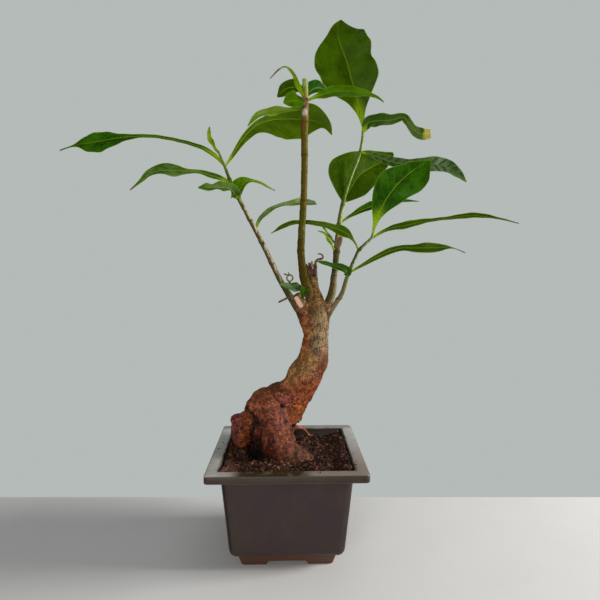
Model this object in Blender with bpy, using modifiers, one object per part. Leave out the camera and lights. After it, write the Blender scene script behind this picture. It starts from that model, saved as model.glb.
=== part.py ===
"""A baobab bonsai in its square moulded pot, in metres with +Z up.

The origin is under the middle of the pot, on the surface that its four feet rest on. -Y is the front.
Sizes and places below are millimetres, and MM turns them into metres.
"""

import math

import bmesh
import bpy
import numpy as np
from mathutils import Vector, noise

MM = 0.001
GAP = 0.3  # between pieces that touch
OVERCUT = 1.0  # how far a cutter runs past the face that it opens
MERGE = 1e-6  # metres, for points that are one
LEVEL = 1e-6  # millimetres, for edges that lie level

# Pot: a square tapered box under a flat rim, on a raised plinth with four feet
POT_WIDTH = 150.0
POT_HEIGHT = 97.0
LIP_HEIGHT = 7.3
FLANGE_WIDTH = 12.2
FLANGE_SLOPE_DEPTH = 3.5
BODY_TOP_HALF = 62.8
BODY_LOW_HALF = 54.3
BODY_LOW = 11.5
WALL = 1.8
CORNER_RADIUS = 7.5
OPENING_CORNER = 4.0
CORNER_STEPS = 3
RIM_CORNER_RADIUS = 4.0
RIM_EDGE_RADIUS = 1.0
RIM_EDGE_STEPS = 2
PLINTH_LOW_HALF = 43.9
PLINTH_TOP_HALF = 47.5
PLINTH_CORNER = 2.8
FOOT_HEIGHT = 4.5
ARCH_HALF_TOP = 18.0
ARCH_HALF_LOW = 20.5
DRAIN_RADIUS = 4.0
DRAIN_SPACING = 28.0
DRAIN_SIDES = 16

# Soil: it fills the pot and rises a little round the trunk
SOIL_LEVEL = 91.0
SOIL_MOUND = 2.5
SOIL_MOUND_RADIUS = 40.0
SOIL_SWELL = 1.3
SOIL_SWELL_SPACING = 26.0
SOIL_GRAIN = 1.1
SOIL_GRAIN_SPACING = 3.1
SOIL_CELL = 4.6

# Leaves
BLADE_THICKNESS = 0.7
MIDRIB_THICKNESS = 1.8
ROW_LENGTH = 8.0
FEWEST_ROWS = 5
NARROW_LEAF = 7.5  # below this half width a blade takes one strip each side of its midrib
MIDRIB_FADE = 0.7

# Trunk
TRUNK_VOXEL = 4.8
TRUNK_SMOOTHING = 0.5
TRUNK_SMOOTH_PASSES = 2
TRUNK_CLEARANCE = 0.8
LIMB_STEP = 8.0
STEM_STEP = 10.0
STEM_SIDES_LEVEL = 1
KNOB_SIDES = 12
KNOB_RINGS = 8
CURVE_STEPS = 12
ROUTE_SAMPLES = 200

# Each surface: its colour and its roughness
SURFACES = {
    "pot_plastic": ((0.043, 0.035, 0.033), 0.55),
    "soil": ((0.022, 0.012, 0.007), 0.95),
    "bark": ((0.16, 0.05, 0.028), 0.8),
    "leaf": ((0.045, 0.095, 0.006), 0.4),
    "stem_left": ((0.13, 0.08, 0.035), 0.7),
    "stem_leader": ((0.15, 0.10, 0.01), 0.6),
    "stem_inner": ((0.08, 0.06, 0.03), 0.7),
    "stem_right": ((0.07, 0.055, 0.02), 0.7),
}

# Each limb is a route of (x, y, z, radius)
TRUNK_LIMBS = {
    "bole": [(-10, 8, 116, 15), (3, 9, 136, 15.4), (12, 8, 156, 17), (18.8, 5, 172, 18.2),
             (24.8, 4, 184, 15.3), (28.4, 3, 196, 14.8), (30.6, 2, 219, 12.5), (31, 1, 238, 12),
             (29.5, 0, 250, 9), (28, 1, 258, 7.5)],
    "dead stub": [(30, 2, 246, 9.5), (27.5, 3, 258, 7.5), (26, 4, 270, 6.2), (26, 4, 281, 5.8)],
    "cut branch": [(23, -2, 238, 6.5), (14, -7, 249, 5.6), (9.5, -9, 257, 5)],
    "left collar": [(27, 0, 218, 10.5), (21, -2, 228, 8.5), (14, -4, 240, 6), (6, -6, 252, 3.8)],
    "right collar": [(36, 2, 225, 8), (41.5, 1, 238, 5), (47, 0, 247, 3.5)],
    "front root": [(-21, 1, 146, 13), (-19, -2, 138, 17), (-15, -7, 123, 17), (-10, -12, 109, 17.5),
                   (-2, -17, 98, 15.5), (10, -19, 92, 11.5), (24, -16, 87, 8)],
    "back root": [(4, 14, 134, 14), (-4, 24, 112, 12), (-6, 30, 90, 10)],
    "left root": [(-30, 8, 128, 12.5), (-47, 13, 116, 11.5), (-48, 13, 106, 11.5), (-49, 13, 92, 7.5)],
    "tap root": [(-12, 6, 104, 17), (-10, 4, 76, 15)],
}
TRUNK_KNOBS = [
    (-22, 4, 139.5, 19), (-8, 6, 146, 18), (-31, 0, 114, 8), (-30, 27, 110, 14), (-8, 32, 104, 14),
    (-47, 13, 116, 12.2), (-53, 9, 123, 6.8), (-13, -24, 109, 8), (-32, -4, 139, 12.5), (8, 14, 128, 10),
    (-3, 3, 162, 9),
]
# Thin pieces that are joined to the trunk after its lumps are blended: a thin root, the dry curl and
# the splinters on the dead stub
TRUNK_TWIGS = [
    [(0, 16, 112, 2.4), (7.5, 30, 109.5, 2.2), (18, 46, 101.5, 1.9), (26, 57, 90, 1.4)],
    [(31, 2, 280, 1.5), (33, 1, 290, 1.3), (36, 0, 296, 1.0), (38, -1, 293, 0.8)],
    [(23, 3, 272, 3.0), (22, 2, 281, 2.4), (21, 2, 287, 1.3)],
    [(27, 1, 274, 3.2), (26.5, 0, 283, 2.4), (27, -1, 289, 1.3)],
    [(29, 6, 274, 3.2), (29.5, 6, 283, 2.4), (30, 5, 289, 1.3)],
    [(31, 1, 270, 2.6), (32, 0, 279, 2.0), (32, -1, 286, 1.2)],
]

# Each stem is a route of (x, y, z, radius), from inside the trunk to its tip
STEMS = {
    "stem_left": [(22.5, -1, 227.5, 4.2), (13, -4, 239, 4.2), (6, -6, 249.5, 3.8), (-1.5, -7, 261.5, 3.2),
                  (-9, -8, 274.5, 2.8), (-25.5, -11, 309, 2.5), (-39.5, -15, 336, 2.3),
                  (-49, -17, 354, 2.0), (-57.5, -19, 372, 1.6), (-63, -20, 386.5, 1.4),
                  (-69, -21, 400.5, 1.0)],
    "stem_leader": [(25.5, -2, 247.5, 5.0), (21.5, -5, 261, 5.4), (17.5, -8, 272.5, 4.8),
                    (15.5, -10, 283.5, 4.0), (14, -11, 300, 3.8), (14.5, -12, 317.5, 3.7),
                    (16, -13, 340.5, 3.5), (17, -14, 363, 3.3), (17.5, -14.5, 393.5, 3.4),
                    (17.5, -15, 423.5, 3.6), (18, -15.5, 443.5, 3.6), (18, -16, 456.5, 3.1),
                    (18, -16, 474.5, 3.0)],
    "stem_inner": [(38.5, 3, 239.5, 4.6), (44.5, 6, 250, 4.4), (48, 8, 260.5, 4.0), (49.5, 10, 273.5, 3.3),
                   (51.5, 12, 287, 3.2), (53, 14, 303.5, 3.3), (54.5, 15, 316, 3.2), (55.5, 16, 329, 2.6),
                   (58, 17, 344.5, 2.3), (61.5, 18, 359.5, 2.0), (68, 21, 380, 1.8), (78, 23, 405.5, 1.6),
                   (82, 24, 424, 1.5), (83, 24, 439.5, 1.3)],
    "stem_right": [(38.5, -1, 225.5, 3.4), (44, -3, 237.5, 2.9), (51, -5, 248.5, 2.5),
                   (56.5, -6, 257.5, 2.3), (60, -8, 269.5, 2.1), (63.5, -9, 280, 1.9),
                   (68.5, -10, 291.5, 1.7), (73.5, -10, 301.5, 1.7), (79.5, -11, 308, 1.6),
                   (86, -11, 314, 1.5), (87.5, -12, 318.5, 1.2)],
}
STEM_TWIGS = {
    "stem_left": [[(3.5, -7, 254, 1.3), (-2, -11, 252, 1.1), (-8.5, -13, 249, 0.9)], [(-6, -8, 270, 1.3),
                  (-3, -11, 273, 1.2), (2.5, -13, 271.5, 1.1), (6, -14, 274, 1.0), (4.5, -14, 277, 1.0),
                  (-0.5, -14, 276.5, 0.9)]],
    "stem_inner": [[(54.5, 14, 307.5, 2.6), (56, 12, 311.5, 2.6), (57, 11, 316, 2.3)]],
}

# Each leaf: its stem, the route of its midrib, the half widths of its two sides at even steps along it
# (the second row is the side that lies to the left of someone who walks up the midrib on the face, and
# is left out where both are alike), and the way that the face looks, from base to tip
FRONT = (0, -1, 0)
LEAVES = {
    "bud_left": ("stem_left", [(-68.5, -20, 397.5), (-72, -21, 403), (-76, -22, 410), (-78, -23, 416.5),
                              (-77, -24, 423.5)],
                 [(0.8, 1.5, 2.2, 2.7, 2, 0.5)],
                 [(0.5, -1, 0)]),
    "leaf_left_long": ("stem_left", [(-63.5, -20, 385.5), (-71, -19, 394.5), (-82.5, -17, 402),
                                    (-98, -14, 408), (-119.5, -9, 414), (-141, -5, 418), (-164.5, -1, 419),
                                    (-184.5, 3, 417.5), (-204.5, 7, 415), (-221, 10, 413.5),
                                    (-240, 12, 408)],
                       [(0.9, 2.6, 2.6, 2.4, 2.2, 2.1, 2.6, 4.6, 9, 8.6, 1.6, 0.7),
                        (0.9, 2.6, 2.6, 2.4, 2.2, 2.1, 2.8, 8.5, 16.8, 12, 2, 0.7)],
                       [(0, -0.8, 0.6), (0, -0.9, 0.5), (0, -1, 0.3), (-0.1, -1, 0.15)]),
    "leaf_left_low": ("stem_left", [(-57, -19, 370), (-65, -20, 371.5), (-77, -22, 375), (-88, -25, 377.5),
                                   (-99.5, -28, 378.5), (-110.5, -31, 378.5), (-123.5, -34, 377.5),
                                   (-133, -37, 373), (-139, -40, 367), (-148.5, -45, 357)],
                      [(0.9, 3.2, 3.8, 2.6, 3, 7.6, 7.8, 4.4, 1.9, 0.6),
                       (0.9, 2.6, 3.6, 2.6, 5.5, 8.3, 5, 3.2, 1.6, 0.4)],
                      [(0, -0.9, 0.5), (-0.1, -0.9, 0.4)]),
    "leaf_left_folded": ("stem_left", [(-48.5, -17, 352), (-52, -24, 358), (-57.5, -33, 361),
                                      (-65, -44, 359.5), (-73.5, -56, 357.5), (-80.5, -64, 356)],
                         [(0.9, 6, 7, 7.5, 6, 5, 1.5), (0.9, 6.5, 8.5, 7.5, 8, 7, 1.5)],
                         [(-0.3, -1, 0.2), (-0.2, -0.9, 0.4)]),
    "leaf_left_hook": ("stem_left", [(-48.5, -16, 353), (-47.5, -14, 362.5), (-44.5, -10, 370),
                                    (-38.5, -5, 373.5), (-29.5, 0, 373), (-20.5, 5, 369), (-13, 9, 366)],
                       [(0.9, 3, 3.5, 1.8, 1.5, 1.2, 0.4), (0.9, 10.5, 7.5, 2.4, 1.5, 1.2, 0.4)],
                       [(0.1, -1, 0.1), (0, -0.9, 0.4)]),
    "leaf_left_arch": ("stem_left", [(-61, -19, 386), (-54.5, -16, 398.5), (-47, -12, 412),
                                    (-38.5, -7, 424), (-28.5, -2, 433.5), (-15, 4, 439.5), (1, 9, 442),
                                    (17, 14, 443), (30, 17, 442), (41, 19, 438), (48.5, 21, 428.5)],
                       [(0.9, 2.2, 3.6, 5.5, 8.5, 18.5, 23.5, 24.5, 23, 15, 4.5, 0.4),
                        (0.9, 1.7, 2.5, 3.4, 4, 5.2, 8, 10.5, 15, 17, 8.5, 0.4)],
                       [(0.3, -1, 0), (0, -1, 0.05)]),
    "leaf_left_inner": ("stem_left", [(-31, -13, 323.5), (-27.5, -10, 333.5), (-19.5, -3, 342),
                                     (-6.5, 6, 350), (11.5, 14, 353.5), (31, 22, 354.5)],
                        [(0.9, 3, 3.8, 4.2, 4.8, 5.6, 6.6, 2)],
                        [(-0.5, -0.8, 0.3), (0, -0.75, 0.65)]),
    "leaf_base_left": ("stem_leader", [(17, -8, 260), (10, -14, 263.5), (3, -19, 264.5), (-4, -22, 266.5),
                                      (-8, -23, 267.5)],
                       [(0.9, 3.5, 5, 5, 3, 0.6)],
                       [(0, -0.9, 0.5)]),
    "leaf_base_front": ("stem_leader", [(20.5, -8, 263), (18.5, -14, 263.5), (16.5, -19, 259),
                                       (15, -21, 252.5)],
                        [(0.9, 3.5, 4.5, 0.6)],
                        [(0, -0.9, 0.4)]),
    "leaf_leader_curl": ("stem_leader", [(16, -16, 454.5), (12, -19, 464.5), (8.5, -21, 474),
                                        (3, -23, 481), (-2, -24, 484), (-7, -25, 481.5), (-17, -27, 471)],
                         [(0.9, 3.2, 2.6, 1.6, 1.2, 0.8, 0.4)],
                         [(-0.9, -0.5, 0.3), (-0.2, -0.7, 0.8)]),
    "leaf_leader_back": ("stem_leader", [(16, -15, 463), (9, -6, 469.5), (-0.5, 1, 471.5), (-10.5, 7, 465)],
                         [(0.9, 4.5, 8.5, 6.5, 1), (0.9, 5, 9.5, 8.5, 1.5)],
                         [(-0.3, -1, 0)]),
    "leaf_leader_far": ("stem_leader", [(17, -15, 455), (24.5, -6, 466.5), (32, 2, 472.5), (43, 8, 473)],
                        [(0.9, 3, 9.5, 7, 0.6)],
                        [(0, -1, 0.1)]),
    "leaf_leader_small": ("stem_leader", [(16, -17, 452.5), (7.5, -24, 449.5), (-3.5, -29, 446)],
                          [(0.9, 8, 10.5, 9, 1.5)],
                          [(0, -0.95, 0.3)]),
    "leaf_leader_right": ("stem_leader", [(18, -17, 453), (29, -22, 455), (40.5, -26, 457),
                                         (55, -30, 457.5), (68.5, -33, 456), (79, -35, 453),
                                         (87.5, -36, 450), (94, -38, 444.5)],
                          [(0.9, 3.4, 7, 10, 9, 6, 2.8, 0.4), (0.9, 2.6, 5.5, 7.2, 6.2, 4, 2.2, 0.4)],
                          [(0, -0.9, 0.4)]),
    "leaf_leader_left": ("stem_leader", [(16, -16, 445.5), (3, -21, 442), (-10, -25, 439),
                                        (-21, -28, 436.5), (-30.5, -31, 431.5), (-38.5, -34, 421.5)],
                         [(0.9, 2.3, 4.4, 5.6, 4, 0.4)],
                         [(0, -0.95, 0.35)]),
    "leaf_inner_top": ("stem_inner", [(83.5, 24, 437.5), (80.5, 24, 448.5), (77, 23, 464.5),
                                     (72.5, 22, 480.5), (68.5, 22, 495.5), (64, 22, 511), (59.5, 22, 523),
                                     (55.5, 23, 536), (55.5, 24, 546.5), (59, 26, 556.5)],
                       [(0.9, 3.7, 8, 15, 23.5, 29.5, 30.5, 26.5, 34, 31.5, 20.5, 21.5, 0.5),
                        (0.9, 2.5, 6.5, 14.5, 26, 34, 36, 38.5, 37, 28.5, 14, 6.5, 0.5)],
                       [(0.05, -1, -0.1)]),
    "leaf_inner_droop": ("stem_inner", [(84, 24, 432), (87.5, 18, 441), (96, 12, 441.5), (108.5, 4, 439.5),
                                       (121, -2, 441), (126.5, -6, 435.5), (130.5, -10, 427.5),
                                       (136.5, -13, 420), (146, -16, 420)],
                         [(0.9, 4, 8, 7, 5.6, 5, 4.4, 7.5, 5)],
                         [(0, -1, 0.2)]),
    "leaf_inner_round": ("stem_inner", [(62, 19, 354.5), (70, 26, 372), (79.5, 32, 386.5), (93, 38, 396.5),
                                       (108.5, 42, 405), (121, 44, 413.5)],
                         [(0.9, 15, 20.5, 20.5, 15.5, 8.5, 0.8), (0.9, 25, 35.5, 30, 20, 12.5, 3)],
                         [FRONT]),
    "leaf_inner_striped": ("stem_inner", [(79.5, 23, 411), (91.5, 18, 406.5), (108, 12, 398.5),
                                         (125, 7, 394.5), (140, 3, 392), (157.5, 0, 389.5),
                                         (167.5, -2, 386.5), (178, -3, 381), (187, -4, 373)],
                           [(0.9, 3.5, 5.5, 5.8, 6.5, 8.3, 8, 6.5, 0.5)],
                           [(0.1, -1, 0.2)]),
    "leaf_inner_hidden": ("stem_inner", [(56.5, 17, 331.5), (68, 20, 340), (82, 26, 347.5),
                                        (96.5, 32, 353), (113, 38, 358.5), (132.5, 44, 360.5),
                                        (150.5, 47, 360.5)],
                          [(0.9, 2.4, 5, 7.5, 5.5, 3, 0.4)],
                          [(-0.1, -0.8, 0.6)]),
    "leaf_right_glossy": ("stem_right", [(87.5, -12, 316.5), (89, -15, 327.5), (92.5, -18, 338.5),
                                        (98.5, -23, 351.5), (107, -27, 364), (118.5, -30, 375.5),
                                        (130, -31, 383.5), (142, -31, 390)],
                          [(0.9, 2.3, 6.8, 13.5, 18, 22, 18, 0.6), (0.9, 3, 10, 17, 20, 13, 6.8, 0.5)],
                          [(0.1, -1, 0.1), (0, -1, 0.2)]),
    "leaf_right_long": ("stem_right", [(85.5, -11, 313), (96.5, -8, 320), (108.5, -5, 325),
                                      (126, -2, 328.5), (148, 1, 333), (171.5, 1, 336.5), (192, 0, 338.5),
                                      (210, -3, 337), (226, -6, 334), (240, -9, 330)],
                        [(0.9, 2.5, 4.6, 4, 3, 2.8, 3.4, 3.4, 2, 0.4)],
                        [(-0.1, -0.8, 0.7), (0.1, -0.8, 0.7)]),
    "leaf_right_low": ("stem_right", [(63.5, -10, 278.5), (75, -13, 285.5), (86, -17, 292),
                                     (99, -23, 298.5), (112, -28, 303), (126, -32, 303), (139.5, -36, 303),
                                     (149, -38, 303), (155, -40, 303.5), (163, -42, 302), (171, -45, 298)],
                       [(0.9, 1.6, 2.4, 3, 3.8, 4, 4.8, 6, 4.8, 0.7, 0.4),
                        (0.9, 1.6, 2.4, 3, 3.6, 3.4, 4.2, 5.2, 3.8, 0.7, 0.4)],
                       [(-0.1, -0.9, 0.5), (0.1, -0.95, 0.4)]),
    "leaf_right_across": ("stem_right", [(73.5, -10, 301), (69.5, -10, 309.5), (62.5, -9, 318),
                                        (50.5, -5, 324), (34, 0, 329.5), (16.5, 4, 331.5),
                                        (-0.5, 9, 328.5), (-17.5, 13, 321)],
                          [(0.9, 1.5, 6.3, 4, 3.2, 3.8, 4.8, 4.2, 0.4)],
                          [(-0.4, -0.9, 0.2), (0, -0.45, 0.9)]),
    "leaf_right_short": ("stem_right", [(62, -9, 274.5), (61, -13, 280), (53, -18, 284),
                                       (42.5, -23, 286.5), (29.5, -26, 290.5)],
                         [(0.9, 5, 4.6, 3.6, 3.2, 2.4, 0.8)],
                         [(0, -1, 0.2), (0, -0.75, 0.7)]),
    "sprout_high": ("stem_inner", [(52.5, 15, 309), (47.5, 12, 314.5), (42.5, 9, 321), (36.5, 6, 329)],
                    [(0.8, 1.5, 1.4, 0.5)],
                    [(0, -1, 0.3)]),
    "sprout_low": ("stem_inner", [(51, 14, 301), (45.5, 6, 310), (39, 0, 319.5), (32, -3, 322.5)],
                   [(0.8, 1.5, 1.4, 0.5)],
                   [(0, -1, 0.3)]),
}
BLADE_FOLD = math.radians(16)
BLADE_WAVE = 1.2
BLADE_WAVES = 2.5
WAVE_START_RIGHT = 1.0
WAVE_START_LEFT = 2.6


def clear_scene():
    for old in list(bpy.data.objects):
        bpy.data.objects.remove(old, do_unlink=True)


def new_collection(name):
    found = bpy.data.collections.new(name)
    bpy.context.scene.collection.children.link(found)
    return found


def new_material(name):
    colour, roughness = SURFACES[name]
    made = bpy.data.materials.new(name)
    made.use_nodes = True
    shader = made.node_tree.nodes["Principled BSDF"]
    shader.inputs["Base Color"].default_value = (*colour, 1.0)
    shader.inputs["Roughness"].default_value = roughness
    made.diffuse_color = (*colour, 1.0)
    return made


def to_metres(bm):
    bmesh.ops.scale(bm, vec=(MM, MM, MM), verts=bm.verts)


def mesh_object(name, bm, collection, surface=None):
    """Closes a bmesh into an object of the collection."""
    mesh = bpy.data.meshes.new(name)
    bm.to_mesh(mesh)
    bm.free()
    obj = bpy.data.objects.new(name, mesh)
    collection.objects.link(obj)
    if surface:
        mesh.materials.append(surface)
    return obj


def as_cutter(obj):
    obj.hide_render = True
    obj.display_type = "WIRE"
    return obj


def bake(obj):
    """Makes the modifiers of an object permanent."""
    shaped = obj.evaluated_get(bpy.context.evaluated_depsgraph_get())
    mesh = bpy.data.meshes.new_from_object(shaped)
    obj.modifiers.clear()
    obj.data = mesh
    return obj


def add_boolean(obj, operation, other, solver="EXACT"):
    """Joins, cuts or crosses an object with another object, or with all those of a collection."""
    step = obj.modifiers.new(operation.title(), "BOOLEAN")
    step.operation = operation
    step.solver = solver
    if isinstance(other, bpy.types.Collection):
        step.operand_type = "COLLECTION"
        step.collection = other
    else:
        step.object = other
    return step


def join_all(base, others):
    """Joins the others to the base by one union on a collection, and removes them."""
    if not others:
        return base
    group = bpy.data.collections.new("to_join")
    bpy.context.scene.collection.children.link(group)
    for other in others:
        for holder in list(other.users_collection):
            holder.objects.unlink(other)
        group.objects.link(other)
    add_boolean(base, "UNION", group)
    bake(base)
    for other in others:
        bpy.data.objects.remove(other, do_unlink=True)
    bpy.data.collections.remove(group)
    return base


def keep_largest(obj):
    """Drops the loose scraps that a cut leaves."""
    bm = bmesh.new()
    bm.from_mesh(obj.data)
    left = set(bm.verts)
    bodies = []
    while left:
        todo = [left.pop()]
        body = list(todo)
        while todo:
            for edge in todo.pop().link_edges:
                for vert in edge.verts:
                    if vert in left:
                        left.remove(vert)
                        todo.append(vert)
                        body.append(vert)
        bodies.append(body)
    bodies.sort(key=len)
    bmesh.ops.delete(bm, geom=[vert for body in bodies[:-1] for vert in body], context="VERTS")
    bm.to_mesh(obj.data)
    bm.free()
    return obj


def tapered_block(low, high, half_low, half_high, corner=0.0, rounded_floor=False, edge=0.0):
    """A square block between two heights, with its corners and its edges rounded."""
    bm = bmesh.new()
    bmesh.ops.create_cube(bm, size=2.0)
    for vert in bm.verts:
        half = half_high if vert.co.z > 0 else half_low
        vert.co = Vector((vert.co.x * half, vert.co.y * half, high if vert.co.z > 0 else low))
    if corner:
        upright = [e for e in bm.edges if abs(e.verts[0].co.z - e.verts[1].co.z) > LEVEL]
        floor = [e for e in bm.edges if max(v.co.z for v in e.verts) < low + LEVEL]
        rounded = upright + (floor if rounded_floor else [])
        bmesh.ops.bevel(bm, geom=rounded, offset=corner, segments=CORNER_STEPS, profile=0.5, affect="EDGES")
    if edge:
        level = [e for e in bm.edges if abs(e.verts[0].co.z - e.verts[1].co.z) < LEVEL]
        bmesh.ops.bevel(bm, geom=level, offset=edge, segments=RIM_EDGE_STEPS, profile=0.5, affect="EDGES")
    to_metres(bm)
    return bm


def half_at(height, low, high, half_low, half_high):
    return half_low + (half_high - half_low) * (height - low) / (high - low)


def body_half(height):
    """Half the outer width of the pot's wall at a height."""
    return half_at(height, BODY_LOW, POT_HEIGHT - FLANGE_SLOPE_DEPTH / 2, BODY_LOW_HALF, BODY_TOP_HALF)


def cavity_parts(shrink, top):
    """The pot's inside: the tapered box and the well in the plinth, smaller by shrink all round."""
    floor = BODY_LOW + WALL
    box = tapered_block(floor + shrink, top, body_half(floor) - WALL - shrink, body_half(top) - WALL - shrink,
                        CORNER_RADIUS - WALL, rounded_floor=True)
    inner = PLINTH_LOW_HALF - WALL - shrink
    well = tapered_block(FOOT_HEIGHT + WALL + shrink, floor + WALL, inner, inner, PLINTH_CORNER)
    return box, well


def build_pot(parts, cutters, surface):
    body_top = POT_HEIGHT - FLANGE_SLOPE_DEPTH / 2
    pot = mesh_object("pot", tapered_block(BODY_LOW, body_top, BODY_LOW_HALF, BODY_TOP_HALF,
                                           CORNER_RADIUS, rounded_floor=True), parts, surface)
    rim = mesh_object("rim", tapered_block(POT_HEIGHT - LIP_HEIGHT, POT_HEIGHT, POT_WIDTH / 2, POT_WIDTH / 2,
                                           RIM_CORNER_RADIUS, edge=RIM_EDGE_RADIUS), cutters)
    plinth = mesh_object("plinth", tapered_block(0, BODY_LOW + WALL, PLINTH_LOW_HALF, PLINTH_TOP_HALF,
                                                 PLINTH_CORNER), cutters)
    join_all(pot, [rim, plinth])

    opening = POT_WIDTH / 2 - FLANGE_WIDTH
    slope_foot = POT_HEIGHT - FLANGE_SLOPE_DEPTH
    slope_inner = body_half(slope_foot) - WALL
    above = half_at(POT_HEIGHT + OVERCUT, slope_foot, POT_HEIGHT, slope_inner, opening)
    box, well = cavity_parts(0.0, slope_foot + OVERCUT)
    hollows = [
        mesh_object("cut_box", box, cutters),
        mesh_object("cut_well", well, cutters),
        mesh_object("cut_slope", tapered_block(slope_foot, POT_HEIGHT + OVERCUT, slope_inner, above,
                                               OPENING_CORNER), cutters),
    ]
    for turn in (0, 1):
        hollows.append(mesh_object(f"cut_arch_{turn}", arch_block(turn), cutters))
    for x, y in [(0, 0), (1, 0), (-1, 0), (0, 1), (0, -1)]:
        drain = bmesh.new()
        bmesh.ops.create_cone(drain, cap_ends=True, segments=DRAIN_SIDES, radius1=DRAIN_RADIUS,
                              radius2=DRAIN_RADIUS, depth=BODY_LOW)
        place = (x * DRAIN_SPACING, y * DRAIN_SPACING, BODY_LOW / 2)
        bmesh.ops.translate(drain, verts=drain.verts, vec=place)
        to_metres(drain)
        hollows.append(mesh_object("cut_drain", drain, cutters))
    for hollow in hollows:
        add_boolean(pot, "DIFFERENCE", as_cutter(hollow))
    bake(pot)
    for hollow in hollows:
        bpy.data.objects.remove(hollow, do_unlink=True)
    return pot


def arch_block(turn):
    """The opening between the feet: a low block with sloping ends that runs right under the plinth."""
    bm = bmesh.new()
    bmesh.ops.create_cube(bm, size=2.0)
    spread = half_at(-OVERCUT, 0, FOOT_HEIGHT, ARCH_HALF_LOW, ARCH_HALF_TOP)
    along = PLINTH_TOP_HALF + OVERCUT
    for vert in bm.verts:
        half = ARCH_HALF_TOP if vert.co.z > 0 else spread
        height = FOOT_HEIGHT if vert.co.z > 0 else -OVERCUT
        vert.co = Vector((vert.co.x * half, vert.co.y * along, height))
        if turn:
            vert.co.x, vert.co.y = -vert.co.y, vert.co.x
    to_metres(bm)
    return bm


def curve_through(knots, steps):
    """A smooth curve through all the knots, with an even number of steps between each two."""
    ends = np.vstack([2 * knots[0] - knots[1], knots, 2 * knots[-1] - knots[-2]])
    fine = []
    for i in range(len(knots) - 1):
        p0, p1, p2, p3 = ends[i:i + 4]
        for t in np.linspace(0, 1, steps, endpoint=False):
            fine.append(0.5 * (2 * p1 + (p2 - p0) * t + (2 * p0 - 5 * p1 + 4 * p2 - p3) * t * t
                               + (3 * p1 - p0 - 3 * p2 + p3) * t ** 3))
    fine.append(knots[-1])
    return np.array(fine)


def smooth_route(points, count):
    """Points at even distances along a smooth curve through the given ones."""
    fine = curve_through(np.array(points, dtype=float), CURVE_STEPS)
    reach = np.concatenate([[0], np.cumsum(np.linalg.norm(np.diff(fine[:, :3], axis=0), axis=1))])
    wanted = np.linspace(0, reach[-1], count)
    return np.column_stack([np.interp(wanted, reach, fine[:, k]) for k in range(fine.shape[1])])


def smooth_widths(widths, count):
    """Half widths at even steps, eased between the given ones and nowhere thinner than the tip."""
    knots = np.array(widths, dtype=float).reshape(-1, 1)
    fine = curve_through(knots, CURVE_STEPS)[:, 0]
    return np.maximum(np.interp(np.linspace(0, 1, count), np.linspace(0, 1, len(fine)), fine), min(widths))


def route_length(points):
    knots = np.array(points, dtype=float)[:, :3]
    return float(np.linalg.norm(np.diff(knots, axis=0), axis=1).sum())


def tube(name, route, collection, step=STEM_STEP, grow=0.0, longer=0.0, surface=None):
    """A round tapering tube along a smooth route, as a closed mesh object."""
    count = max(3, int(route_length(route) / step) + 1)
    stops = smooth_route(route, count)
    if longer:
        for end, inner in ((0, 1), (-1, -2)):
            away = stops[end, :3] - stops[inner, :3]
            stops[end, :3] += away / np.linalg.norm(away) * longer
    curve = bpy.data.curves.new(name, "CURVE")
    curve.dimensions = "3D"
    curve.bevel_depth = MM
    curve.bevel_resolution = STEM_SIDES_LEVEL
    curve.use_fill_caps = True
    line = curve.splines.new("POLY")
    line.points.add(len(stops) - 1)
    for point, (x, y, z, radius) in zip(line.points, stops):
        point.co = (x * MM, y * MM, z * MM, 1.0)
        point.radius = radius + grow
    drawn = bpy.data.objects.new(name + "_curve", curve)
    collection.objects.link(drawn)
    bpy.context.view_layer.update()
    mesh = bpy.data.meshes.new_from_object(drawn.evaluated_get(bpy.context.evaluated_depsgraph_get()))
    place = drawn.matrix_world.copy()
    bpy.data.objects.remove(drawn, do_unlink=True)
    bm = bmesh.new()
    bm.from_mesh(mesh)
    bmesh.ops.remove_doubles(bm, verts=bm.verts, dist=MERGE)
    bmesh.ops.recalc_face_normals(bm, faces=bm.faces)
    obj = mesh_object(name, bm, collection, surface)
    obj.matrix_world = place
    return obj


def knob(name, x, y, z, radius, collection):
    bm = bmesh.new()
    bmesh.ops.create_uvsphere(bm, u_segments=KNOB_SIDES, v_segments=KNOB_RINGS, radius=radius)
    bmesh.ops.translate(bm, verts=bm.verts, vec=(x, y, z))
    to_metres(bm)
    return mesh_object(name, bm, collection)


def build_trunk(parts, cutters, surface):
    """The swollen roots, the bole, the dead stub and the cut branch, blended into one body."""
    lumps = [tube("limb", route, cutters, step=LIMB_STEP) for route in TRUNK_LIMBS.values()]
    lumps += [knob("knob", *place, cutters) for place in TRUNK_KNOBS]
    heap = bmesh.new()
    for lump in lumps:
        heap.from_mesh(lump.data)
        bpy.data.objects.remove(lump, do_unlink=True)
    trunk = mesh_object("trunk", heap, parts, surface)
    blend = trunk.modifiers.new("Remesh", "REMESH")
    blend.mode = "VOXEL"
    blend.voxel_size = TRUNK_VOXEL * MM
    ease = trunk.modifiers.new("Smooth", "SMOOTH")
    ease.factor = TRUNK_SMOOTHING
    ease.iterations = TRUNK_SMOOTH_PASSES
    bake(trunk)
    join_all(trunk, [tube("twig", route, cutters) for route in TRUNK_TWIGS])
    return keep_largest(trunk)


def grown_copy(obj, cutters, by):
    """A copy with its faces moved outwards, which cuts a seat for the original."""
    copy = bpy.data.objects.new(obj.name + "_seat", obj.data.copy())
    cutters.objects.link(copy)
    swell = copy.modifiers.new("Displace", "DISPLACE")
    swell.direction = "NORMAL"
    swell.mid_level = 0.0
    swell.strength = by * MM
    bake(copy)
    return as_cutter(copy)


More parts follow.
